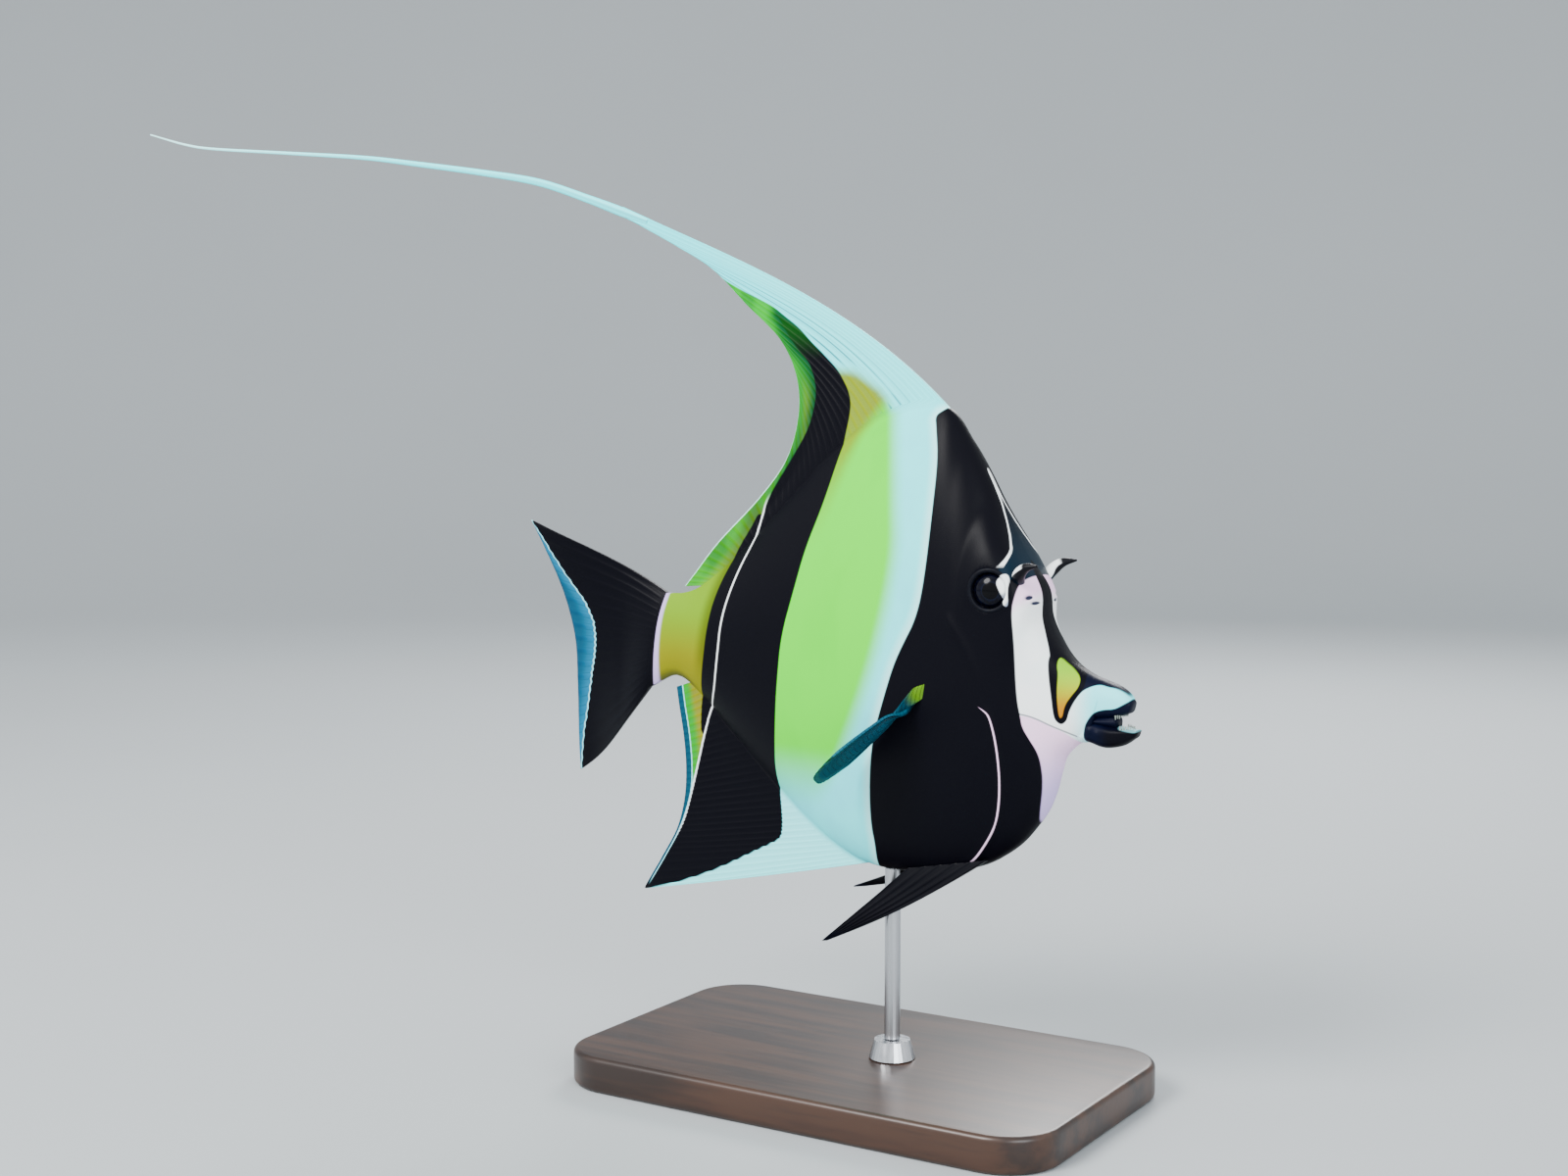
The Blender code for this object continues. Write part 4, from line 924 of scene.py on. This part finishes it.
def jaw(name, table, lip_at):
    """A loft along a table of upper x and z, lower x and z and half width, with a lip at one height."""
    sections, rows = 40, 33
    ux, uz, lx, lz, wide = np.moveaxis(along(table, np.linspace(0, len(table) - 1, sections)), -1, 0)
    wide = wide * (0.8 + 0.2 * ramp(np.linspace(0, 1, sections), 0.0, 0.3))
    share = 0.5 - 0.5 * np.cos(np.pi * np.linspace(0, 1, rows))[None]
    px = lx[:, None] + (ux - lx)[:, None] * share
    pz = lz[:, None] + (uz - lz)[:, None] * share
    fullness = np.sqrt(np.clip(1 - np.abs(2 * share - 1) ** 2.6, 0, 1))
    ph = LIP_EDGE + (wide[:, None] - LIP_EDGE) * fullness
    ph += LIP_SWELL * np.exp(-(((share - lip_at) / 0.16) ** 2)) * fullness
    for fx, fz, size, swell in FOLDS:
        ph += swell * np.exp(-((px - fx) ** 2 + (pz - fz) ** 2) / size ** 2) * fullness
    faces = closed_sheet(grid_faces(np.arange(px.size).reshape(px.shape), True), px.size)
    px, pz, ph = px.ravel(), pz.ravel(), ph.ravel()
    places = np.concatenate([np.stack([px, -ph, pz], -1), np.stack([px, ph, pz], -1)])
    piece = make_piece(name, places, faces, material=fish_skin)
    store_markings(piece, px, pz, ph)
    store(piece, behind_stalk=-200, tail_margin=-200, to_margin=200)
    return piece


upper_jaw = jaw("upper_jaw_skin", UPPER_JAW, 0.12)
lower_jaw = jaw("lower_jaw_skin", LOWER_JAW, 0.85)
mouth_skin = jaw("mouth_skin", MOUTH_SKIN, 0.5)
print("jaws:", len(upper_jaw.data.polygons), "faces each")

# %% [markdown]
# ## Eyes
#
# Each eye is a flattened ball, dark with a deep blue iris and a painted blue highlight along its front
# rim. Its vertices keep how far they are from the pupil's middle and how far from the white streak that
# runs down through the front of the iris.

# %% Eyes
STREAK_MIDDLE = 142.5

eye_material, t, shader = new_material("eye", roughness=0.16, specular=0.12)
from_pupil = t.kept("from_pupil")
look = t.mix(tone(2, 2, 9), tone(5, 7, 22), t.step(t.noise(900.0), 0.35, 0.7))
look = t.mix(look, tone(1, 1, 3), t.step(from_pupil, 2.3, 2.1))
look = t.mix(look, tone(24, 34, 60), t.band(from_pupil, 2.25, 2.5, 0.1), 0.15)
streak = t.mix(SNOW, tone(110, 118, 140), t.step("low", 1.5, -1.5), t.step(t.noise(700.0), 0.3, 0.6))
look = t.mix(look, streak, t.step("tear", -0.15, 0.15))
# Painted highlight: a blue crescent along the front rim of the eyeball.
look = t.mix(look, tone(40, 90, 170), t.band(from_pupil, 4.5, 5.0, 0.15), t.step("front", 1.0, 3.0), 0.7)
t.feed(shader.inputs["Base Color"], look)


def eye(name, side):
    rings, around = 39, 64
    a = np.linspace(0, np.pi, rings + 2)[1:-1, None]
    b = np.linspace(0, 2 * np.pi, around, endpoint=False)[None]
    ball = np.stack([np.sin(a) * np.cos(b), -np.cos(a) * np.ones_like(b), np.sin(a) * np.sin(b)], -1)
    ball = np.concatenate([ball.reshape(-1, 3), [[0, -1, 0], [0, 1, 0]]]) * EYE_RADII
    cos, sin = math.cos(EYE_TURN), math.sin(EYE_TURN)
    places = ball @ np.array([[cos, -sin, 0], [sin, cos, 0], [0, 0, 1]]).T + EYE_CENTRE
    piece = make_piece(name, places, ring_faces(rings, around), side, eye_material)
    px, pz, front = places[:, 0], places[:, 2], ball[:, 0]
    tear = area_distance(px, pz, AREAS["tear"])
    store(piece, from_pupil=np.hypot(front, ball[:, 2]), tear=tear, low=pz - STREAK_MIDDLE, front=front)
    return piece


eye_right, eye_left = eye("eyeball_right", -1), eye("eyeball_left", 1)
print("eye:", len(eye_right.data.polygons), "faces")

# %% [markdown]
# ## Eye rims
#
# A soft ring of skin lies on the flank round each eye and covers the edge of the hollow. It could be part
# of the skin's grid, but a ring of its own is rounder.

# %% Eye rims
RIM_RADIUS, RIM_THICKNESS, RIM_SINK, RIM_RISE = 5.35, 0.62, 0.12, 0.5

rim_material, t, shader = new_material("eye_rim", roughness=0.5, specular=0.1)
look = t.mix(tone(2, 2, 9), tone(5, 8, 18), t.step(t.noise(1400.0), 0.3, 0.7))
t.feed(shader.inputs["Base Color"], t.mix(look, SNOW, t.step("tear", -0.15, 0.15)))


def eye_rim(name, side):
    """A ring whose middle follows the flank, with half its thickness sunk into it."""
    turns, around = 96, 16
    a = np.linspace(0, 2 * np.pi, turns, endpoint=False)[:, None]
    b = np.linspace(0, 2 * np.pi, around, endpoint=False)[None]
    px = EYE_CENTRE[0] + (RIM_RADIUS + RIM_THICKNESS * np.cos(b)) * np.cos(a)
    pz = EYE_CENTRE[2] + (RIM_RADIUS + RIM_THICKNESS * np.cos(b)) * np.sin(a)
    middle_x, middle_z = EYE_CENTRE[0] + RIM_RADIUS * np.cos(a), EYE_CENTRE[2] + RIM_RADIUS * np.sin(a)
    away = (middle_x - x.ravel()) ** 2 + (middle_z - z.ravel()) ** 2
    nearest = np.argsort(away, axis=1)[:, :6]
    weight = 1 / (np.take_along_axis(away, nearest, 1) + 0.02)
    flank = (plain_half.ravel()[nearest] * weight).sum(1) / weight.sum(1)
    flank = (np.roll(flank, 1) + flank + np.roll(flank, -1)) / 3
    out = flank[:, None] - RIM_SINK + RIM_RISE * np.sin(b)
    places = np.stack([px, side * out, pz], -1).reshape(-1, 3)
    piece = make_piece(name, places, ring_faces(turns, around, True), material=rim_material)
    store(piece, tear=area_distance(px.ravel(), pz.ravel(), AREAS["tear"]))
    return piece


rim_right, rim_left = eye_rim("eye_rim_right", -1), eye_rim("eye_rim_left", 1)
print("rim:", len(rim_right.data.polygons), "faces")

# %% [markdown]
# ## Horns
#
# A short bony horn stands over the front of each eye, black with a white ridge along its top. It is a
# closed tube along a bent line. The same tube serves for the whip below.

# %% Horns
HORN = [
    (51.2, -6.8, 144.2, 1.5), (52.4, -10.0, 147.2, 1.7), (55.0, -11.4, 149.4, 1.25),
    (58.7, -12.2, 150.1, 0.25),
]


def tube(name, line, side, material, around=24, sections=40, flatten=1.0):
    """A closed tube along (x, y, z, radius) places. flatten narrows it sideways."""
    row = along(line, np.linspace(0, len(line) - 1, sections))
    centre, radius = row[:, :3], row[:, 3:]
    tangent = np.gradient(centre, axis=0)
    tangent /= np.linalg.norm(tangent, axis=1, keepdims=True)
    aside = np.cross(tangent, (0, 0, 1.0))
    aside /= np.linalg.norm(aside, axis=1, keepdims=True)
    upward = np.cross(aside, tangent)
    angle = np.linspace(0, 2 * np.pi, around, endpoint=False)
    rim = aside[:, None] * np.cos(angle)[None, :, None] * flatten
    rim += upward[:, None] * np.sin(angle)[None, :, None]
    places = (centre[:, None] + rim * radius[:, None]).reshape(-1, 3)
    places = np.concatenate([places, centre[:1], centre[-1:] + tangent[-1:] * radius[-1] * 0.7])
    piece = make_piece(name, places, ring_faces(sections, around), side, material)
    top = np.tile(np.sin(angle), sections)
    length = np.repeat(np.linspace(0, 1, sections), around)
    store(piece, top=np.append(top, [0, 0]), length=np.append(length, [0, 1]))
    return piece


horn_material, t, shader = new_material("horn", roughness=0.4, specular=0.15)
look = t.mix(TEAL, INK, t.step("length", 0.1, 0.4))
look = t.mix(look, SNOW, t.step("top", -0.15, 0.1), t.band("length", 0.1, 0.64, 0.05))
t.feed(shader.inputs["Base Color"], look)
t.feed(shader.inputs["Normal"], t.bump(t.noise(1500.0), 0.0001, 0.4))
horn_right = tube("horn_skin_right", HORN, -1, horn_material)
horn_left = tube("horn_skin_left", HORN, 1, horn_material)
print("horn:", len(horn_right.data.polygons), "faces")

# %% [markdown]
# ## The whip of the dorsal fin
#
# The third spine of the dorsal fin trails behind the fish as a thin white whip, which drifts towards the
# camera. It is flattened sideways, like the fin that it grows from.

# %% The whip of the dorsal fin
WHIP = [
    (-72, 0, 243.9, 1), (-81.2, 0, 247.1, 1.4), (-93.3, -0.3, 251.4, 1.2), (-110.7, -1.3, 257, 1.1),
    (-130.4, -3.2, 260.7, 0.95), (-152.9, -7, 264.2, 0.8), (-171.3, -11.6, 266.8, 0.65),
    (-196.2, -19.9, 268.9, 0.5), (-216.9, -28.7, 270.5, 0.4), (-225.4, -32.9, 271.9, 0.35),
    (-235.3, -38.3, 275.1, 0.2),
]
whip_material, t, shader = new_material("whip", roughness=0.45)
look = t.mix(FIN_WHITE, tone(196, 250, 250), t.step("length", 0.5, 1.0))
streaks = t.times(t.step(t.math("ABSOLUTE", "top"), 0.45, 0.1), t.step("length", 0.5, 0.0), 0.5)
t.feed(shader.inputs["Base Color"], t.mix(look, tone(60, 160, 170), streaks))
whip = tube("dorsal_whip", WHIP, -1, whip_material, around=12, sections=220, flatten=0.42)
print("whip:", len(whip.data.polygons), "faces")

# %% [markdown]
# ## Paired fins
#
# The pectoral fin twists from an upright root to a free end that stands out from the flank, and the pelvic
# fin is a folded triangle that ends in a point. Both keep the number of each ray for their streaks.

# %% Paired fins
PECTORAL_ROOT, PECTORAL_TIP = np.array((25.4, -12.4, 115.3)), np.array((2.4, -29.0, 91.4))
PECTORAL_ROOT_HEIGHT, PECTORAL_SPREAD, PECTORAL_RAYS = 4.0, 21.0, 18
PECTORAL_SUNK, PECTORAL_ROUNDING = 0.06, 0.2
ROOT_WAY, EDGE_WAY = np.array((0.25, 0.0, 0.97)), np.array((-0.36, 0.88, -0.31))
PELVIC_RAYS, PELVIC_SAG = 5, 1.6
FAN_ROOT, FAN_THINNING, FAN_RIDGE = 0.85, 0.6, 0.13
PELVIC_RIGHT = ((41.0, -4.2, 70.0), (17.0, -3.4, 65.0), (-7.6, -7.5, 42.4))
PELVIC_LEFT = ((41.0, 4.2, 70.0), (17.0, 3.4, 65.0), (-5.6, 6.6, 55.4))


def pectoral_place(across, way):
    """The middle of the right pectoral fin. Its width turns outwards over the first half of its length."""
    turned = ROOT_WAY + (EDGE_WAY - ROOT_WAY) * ramp(way, 0.0, 0.5)
    turned = turned / np.linalg.norm(turned, axis=-1, keepdims=True)
    wide = PECTORAL_ROOT_HEIGHT + (PECTORAL_SPREAD - PECTORAL_ROOT_HEIGHT) * ramp(way, 0.0, 1.0)
    longest = 1 - PECTORAL_ROUNDING * (2 * across - 1) ** 4
    reach = (1 + PECTORAL_SUNK) * way * longest - PECTORAL_SUNK
    return PECTORAL_ROOT + (PECTORAL_TIP - PECTORAL_ROOT) * reach + turned * wide * (across - 0.5)


def pelvic_place(front, rear_root, tip):
    """The function for the middle of a pelvic fin between three corners, with a slack lower edge."""
    front, rear_root, tip = (np.array(p) for p in (front, rear_root, tip))

    def place(across, way):
        start = front + (rear_root - front) * across
        finish = tip + (rear_root - front) * 0.06 * (across - 0.5)
        sag = PELVIC_SAG * np.sin(np.pi * way) * (1 - across)
        return start + (finish - start) * way - sag * (0, 0, 1)
    return place


def fan(name, side, place, rays, per_ray, rows):
    """A fin from place(share across, share along), with a ridge for each ray."""
    across = np.linspace(0, 1, rays * per_ray + 1)[:, None, None] * np.ones((1, rows, 1))
    way = np.linspace(0, 1, rows)[None, :, None] * np.ones((rays * per_ray + 1, 1, 1))
    middle = place(across, way)
    normal = np.cross(np.gradient(middle, axis=0), np.gradient(middle, axis=1))
    normal /= np.linalg.norm(normal, axis=-1, keepdims=True)
    if normal[len(normal) // 2, 0, 1] > 0:
        normal = -normal
    number = across * rays
    ridge = FAN_RIDGE * np.cos(2 * np.pi * number) * ramp(way, 0.05, 0.25)
    half = FAN_ROOT - FAN_THINNING * ramp(way, 0.0, 0.4) + ridge
    half = half * (1 - 0.4 * ramp(way, 0.94, 1.0))
    both = np.concatenate([(middle + normal * half).reshape(-1, 3), (middle - normal * half).reshape(-1, 3)])
    count = middle.shape[0] * rows
    faces = closed_sheet(grid_faces(np.arange(count).reshape(-1, rows)), count)
    piece = make_piece(name, both * (1, -side, 1), faces)
    store(piece, ray_number=number.ravel(), way=way.ravel(), across=across.ravel())
    return piece


pectoral = pectoral_place, PECTORAL_RAYS, 6, 60
pelvic = PELVIC_RAYS, 10, 60
pectoral_right, pectoral_left = fan("pectoral_right", -1, *pectoral), fan("pectoral_left", 1, *pectoral)
pelvic_right = fan("pelvic_right", -1, pelvic_place(*PELVIC_RIGHT), *pelvic)
pelvic_left = fan("pelvic_left", -1, pelvic_place(*PELVIC_LEFT), *pelvic)
print("faces: pectoral", len(pectoral_right.data.polygons), "pelvic", len(pelvic_right.data.polygons))

# %% [markdown]
# ## Material of the paired fins
#
# The pectoral fin is clear between its rays and its root is yellowish green. The pelvic fin is black. Dark
# joints cross the rays, as in the real fins.

# %% Material of the paired fins
def fin_material(name, root_tone, blade, edge, clear):
    made, t, shader = new_material(name, roughness=0.45, specular=0.12)
    ray = t.placed(ray_lines, {**RAY_SHAPE, "Number": "ray_number"})["Ray"]
    at_root = t.less("way", t.times("across", 0.1))
    look = t.mix(root_tone, blade, t.step(at_root, 0.06, 0.16))
    look = t.mix(look, edge, t.step("way", 0.8, 1.0))
    look = t.mix(look, INK, t.step(ray, 0.5, 0.1), t.step("way", 0.1, 0.3))
    look = t.mix(look, INK, t.step(t.swing(t.times("way", 26.0)), 0.36, 0.46), 0.55)
    t.feed(shader.inputs["Base Color"], look)
    between = t.times(t.step(ray, 0.7, 0.2), t.step("way", 0.1, 0.35), clear)
    t.feed(shader.inputs["Alpha"], t.less(1.0, between))
    t.feed(shader.inputs["Normal"], t.bump(ray, 0.0002, 0.6))
    return made


pectoral_look = fin_material("pectoral_fin", tone(84, 130, 3), tone(6, 72, 92), tone(8, 90, 108), 0.3)
pelvic_look = fin_material("pelvic_fin", INK, INK, DEEP, 0.0)
for piece, look in (
    (pectoral_right, pectoral_look), (pectoral_left, pectoral_look), (pelvic_right, pelvic_look),
    (pelvic_left, pelvic_look),
):
    piece.data.materials.append(look)
print("fin material:", len(pectoral_look.node_tree.nodes), "nodes")

# %% [markdown]
# ## Teeth
#
# A moorish idol picks sponges with two rows of teeth as fine as bristles. A Geometry Nodes group sets one
# tooth after another along a curve, so their number and size stay easy to change. Lengths are in metres
# here.

# %% Teeth
def tooth_group():
    group = bpy.data.node_groups.new("tooth_row", "GeometryNodeTree")
    group.interface.new_socket(name="Geometry", in_out="INPUT", socket_type="NodeSocketGeometry")
    for label, kind, value in (
        ("Count", "NodeSocketInt", 16), ("Length", "NodeSocketFloat", 0.0011),
        ("Radius", "NodeSocketFloat", 0.00024), ("Seed", "NodeSocketInt", 4),
    ):
        group.interface.new_socket(name=label, in_out="INPUT", socket_type=kind).default_value = value
    group.interface.new_socket(name="Material", in_out="INPUT", socket_type="NodeSocketMaterial")
    group.interface.new_socket(name="Geometry", in_out="OUTPUT", socket_type="NodeSocketGeometry")
    t = Tree(group)
    given, result = group.nodes.new("NodeGroupInput"), group.nodes.new("NodeGroupOutput")
    curve = t.node("GeometryNodeMeshToCurve", {"Mesh": given.outputs["Geometry"]})
    line = t.node("GeometryNodeResampleCurve", {"Curve": curve.outputs[0], "Count": given.outputs["Count"]})
    tooth = t.node("GeometryNodeMeshCone", {
        "Vertices": 10, "Side Segments": 4, "Radius Top": 0.00008, "Radius Bottom": given.outputs["Radius"],
        "Depth": given.outputs["Length"],
    })
    sizes = {2: 0.85, 3: 1.1, "Seed": given.outputs["Seed"]}
    size = t.node("FunctionNodeRandomValue", sizes, data_type="FLOAT")
    row = t.node("GeometryNodeInstanceOnPoints", {
        "Points": line.outputs[0], "Instance": tooth.outputs["Mesh"], "Scale": size.outputs[1],
    })
    solid = t.node("GeometryNodeRealizeInstances", {0: row.outputs[0]})
    dressed = t.node("GeometryNodeSetMaterial", {
        "Geometry": solid.outputs[0], "Material": given.outputs["Material"],
    })
    t.feed(result.inputs["Geometry"], dressed.outputs[0])
    return group


tooth_material, t, shader = new_material("tooth", roughness=0.25)
t.feed(shader.inputs["Base Color"], t.mix(tone(150, 160, 150), tone(110, 120, 112), t.noise(2000.0)))
group = tooth_group()
print("tooth group:", len(group.nodes), "nodes")

# %% [markdown]
# ## Teeth on the jaws
#
# The curve runs round the mouth side of each jaw. The group makes its teeth upright, so the upper row is
# made upside down and turned over. The result is kept as a plain mesh.

# %% Teeth on the jaws
def tooth_row(name, group, table, edge, upside_down, count, seed):
    """A row of teeth along the mouth side of a jaw, as a plain mesh."""
    spread = np.linspace(-1, 1, 31)
    row = along(table, (len(table) - 1) * (0.95 - 0.24 * np.abs(spread) ** 2))
    way = -1 if upside_down else 1
    places = np.stack([row[:, edge] - 0.5, spread * row[:, 4] * 0.8, way * row[:, edge + 1] - 0.5], -1) * MM
    guide = bpy.data.meshes.new(name)
    guide.from_pydata(places.tolist(), [(k, k + 1) for k in range(len(places) - 1)], [])
    helper = bpy.data.objects.new(name, guide)
    scene.collection.objects.link(helper)
    step = helper.modifiers.new("teeth", "NODES")
    step.node_group = group
    sockets = {s.name: s.identifier for s in group.interface.items_tree if s.in_out == "INPUT"}
    step[sockets["Count"]] = count
    step[sockets["Seed"]] = seed
    step[sockets["Material"]] = tooth_material
    bpy.context.view_layer.update()
    graph = bpy.context.evaluated_depsgraph_get()
    mesh = bpy.data.meshes.new_from_object(helper.evaluated_get(graph))
    bpy.data.objects.remove(helper)
    if upside_down:
        mesh.transform(((1, 0, 0, 0), (0, 1, 0, 0), (0, 0, -1, 0), (0, 0, 0, 1)))
        mesh.flip_normals()
    mesh.name = name
    piece = bpy.data.objects.new(name, mesh)
    scene.collection.objects.link(piece)
    return piece


upper_teeth = tooth_row("upper_teeth", group, UPPER_JAW, 2, True, 15, 4)
lower_teeth = tooth_row("lower_teeth", group, LOWER_JAW, 0, False, 13, 9)
print("teeth:", len(upper_teeth.data.polygons), len(lower_teeth.data.polygons), "faces")

# %% [markdown]
# ## The stand
#
# A plain base of dark oiled wood carries a small collar and a steel rod. The base is made again here, with
# a finer rounded edge than the packed one.

# %% The stand
BASE_LENGTH, BASE_WIDTH, BASE_HEIGHT, BASE_CORNER, BASE_EDGE = 150.0, 90.0, 10.0, 16.0, 1.5


def stand_base():
    """Rings of the rounded outline, one above another, that draw in at the lower and upper edge."""
    corner = np.linspace(0, np.pi / 2, 17)
    angle = np.concatenate([corner + k * np.pi / 2 for k in range(4)])
    sx = np.repeat([1, -1, -1, 1], 17) * (BASE_LENGTH / 2 - BASE_CORNER)
    sy = np.repeat([1, 1, -1, -1], 17) * (BASE_WIDTH / 2 - BASE_CORNER)
    bend = np.linspace(0, np.pi / 2, 7)
    profile = [(BASE_EDGE * (1 - math.sin(a)), BASE_EDGE * (1 - math.cos(a))) for a in bend]
    profile = profile + [(inset, BASE_HEIGHT - rise) for inset, rise in profile[::-1]]
    rows = []
    for inset, level in profile:
        reach = BASE_CORNER - inset
        ring = sx + reach * np.cos(angle), sy + reach * np.sin(angle), np.full_like(angle, level)
        rows.append(np.stack(ring, -1))
    around = len(angle)
    places = np.concatenate(rows)
    index = np.arange(len(places)).reshape(len(rows), around)
    ring = np.hstack([index, index[:, :1]])
    faces = grid_faces(ring).tolist() + [index[0, ::-1].tolist(), index[-1].tolist()]
    piece = make_piece("base_wood", places, faces, material=wood)
    piece.data.set_sharp_from_angle(angle=math.radians(40))
    return piece


wood, t, shader = new_material("dark_wood", roughness=0.34)
wave = t.noise(38.0, 6.0, (0.5, 5.0, 5.0))
fibre = t.noise(420.0, 3.0, (0.08, 1.0, 1.0))
grain = t.mix(tone(58, 36, 24), tone(34, 20, 14), t.step(wave, 0.35, 0.65))
t.feed(shader.inputs["Base Color"], t.mix(grain, tone(20, 12, 9), t.step(fibre, 0.5, 0.8), 0.5))
t.feed(shader.inputs["Normal"], t.bump(fibre, 0.0001, 0.3))
base = stand_base()
print("base:", len(base.data.polygons), "faces")

# %% [markdown]
# ## Rod and collar
#
# The rod and the collar keep their packed shape and only get a finish. Brushed steel shows fine streaks
# along the rod, so the noise is stretched upwards.

# %% Rod and collar
steel, t, shader = new_material("brushed_steel", metallic=1.0)
brushed = t.noise(900.0, 2.0, (1.0, 1.0, 0.02))
t.feed(shader.inputs["Base Color"], t.mix(tone(170, 172, 176), tone(205, 206, 210), brushed))
t.feed(shader.inputs["Roughness"], t.plus(t.times(brushed, 0.25), 0.15))
for name in ("stand_rod", "stand_collar"):
    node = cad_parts[name]
    node.data.materials.clear()
    node.data.materials.append(steel)
print("steel:", len(steel.node_tree.nodes), "nodes")

# %% [markdown]
# ## What stands for what
#
# Every piece rides on the one body, and the packed nodes that it stands for are hidden.

# %% What stands for what
TRUNK_NODES = (
    "head", "torso", "tail_stalk", "gill_cover_left", "gill_cover_right", "dorsal_fin_front",
    "dorsal_fin_rear", "anal_fin", "tail_fin",
)
PIECES = (
    (skin, "skin", TRUNK_NODES),
    (upper_jaw, "black_skin", ("upper_jaw",)),
    (lower_jaw, "black_skin", ("lower_jaw",)),
    (mouth_skin, "black_skin", ()),
    (upper_teeth, "black_skin", ()),
    (lower_teeth, "black_skin", ()),
    (eye_right, "eye", ("eye_right",)),
    (eye_left, "eye", ("eye_left",)),
    (rim_right, "black_skin", ()),
    (rim_left, "black_skin", ()),
    (horn_right, "horn", ("horn_right",)),
    (horn_left, "horn", ("horn_left",)),
    (whip, "skin", ("dorsal_whip_near", "dorsal_whip_far")),
    (pectoral_right, "fin_membrane", ("pectoral_fin_right",)),
    (pectoral_left, "fin_membrane", ("pectoral_fin_left",)),
    (pelvic_right, "black_skin", ("pelvic_fin_right",)),
    (pelvic_left, "black_skin", ("pelvic_fin_left",)),
    (base, "stand_wood", ("stand_base",)),
)
for piece, finish, nodes in PIECES:
    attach(piece, "root")
    if nodes:
        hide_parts(*nodes)
print(len(PIECES), "pieces")

# %% [markdown]
# ## The floor
#
# A pale sheet lies on the floor and curves up behind the fish, as in a photographer's studio, so the
# picture has no horizon.

# %% The floor
bend = np.linspace(0, np.pi / 2, 25)
reach = np.concatenate([[-2.5], 1.3 + 0.9 * np.sin(bend), [2.2]])
rise = np.concatenate([[0.0], 0.9 - 0.9 * np.cos(bend), [4.0]])
away = np.array([-math.sin(AZIMUTH), math.cos(AZIMUTH)])
aside = np.array([math.cos(AZIMUTH), math.sin(AZIMUTH)])
rows = [[(*(away * r + aside * w), h) for w in (-4.0, 4.0)] for r, h in zip(reach, rise)]
places = np.array(rows).reshape(-1, 3) / MM
paper, t, shader = new_material("pale_paper", roughness=0.8)
t.feed(shader.inputs["Base Color"], t.mix((0.36, 0.385, 0.40, 1), (0.39, 0.415, 0.43, 1), t.noise(3.0, 3.0)))
faces = grid_faces(np.arange(len(places)).reshape(-1, 2), True).tolist()
sweep = make_piece("sweep", places, faces, material=paper)
print("sweep:", len(sweep.data.polygons), "faces")

# %% [markdown]
# ## Lights
#
# A large soft key light stands at the upper left, a weaker fill at the right and a rim light behind. Pale
# light from all round keeps the shadows soft.

# %% Lights
world = bpy.data.worlds.new("studio")
world.use_nodes = True
world.node_tree.nodes["Background"].inputs["Color"].default_value = (0.88, 0.92, 0.95, 1)
world.node_tree.nodes["Background"].inputs["Strength"].default_value = 1.5
scene.world = world


def soft_light(name, place, aim, size, power, tint):
    lamp = bpy.data.lights.new(name, "AREA")
    lamp.shape, lamp.size, lamp.energy, lamp.color = "DISK", size, power, tint
    holder = bpy.data.objects.new(name, lamp)
    holder.location = place
    holder.rotation_euler = (Vector(aim) - Vector(place)).to_track_quat("-Z", "Y").to_euler()
    scene.collection.objects.link(holder)


soft_light("key_light", (-0.35, -0.95, 0.95), (0, 0, 0.13), 0.6, 27.0, (1.0, 0.99, 0.97))
soft_light("fill_light", (0.95, -0.6, 0.45), (0, 0, 0.13), 0.7, 10.0, (0.92, 0.97, 1.0))
soft_light("rim_light", (-0.2, 0.9, 0.7), (0, 0, 0.15), 0.5, 10.0, (1.0, 1.0, 1.0))

# %% [markdown]
# ## The end
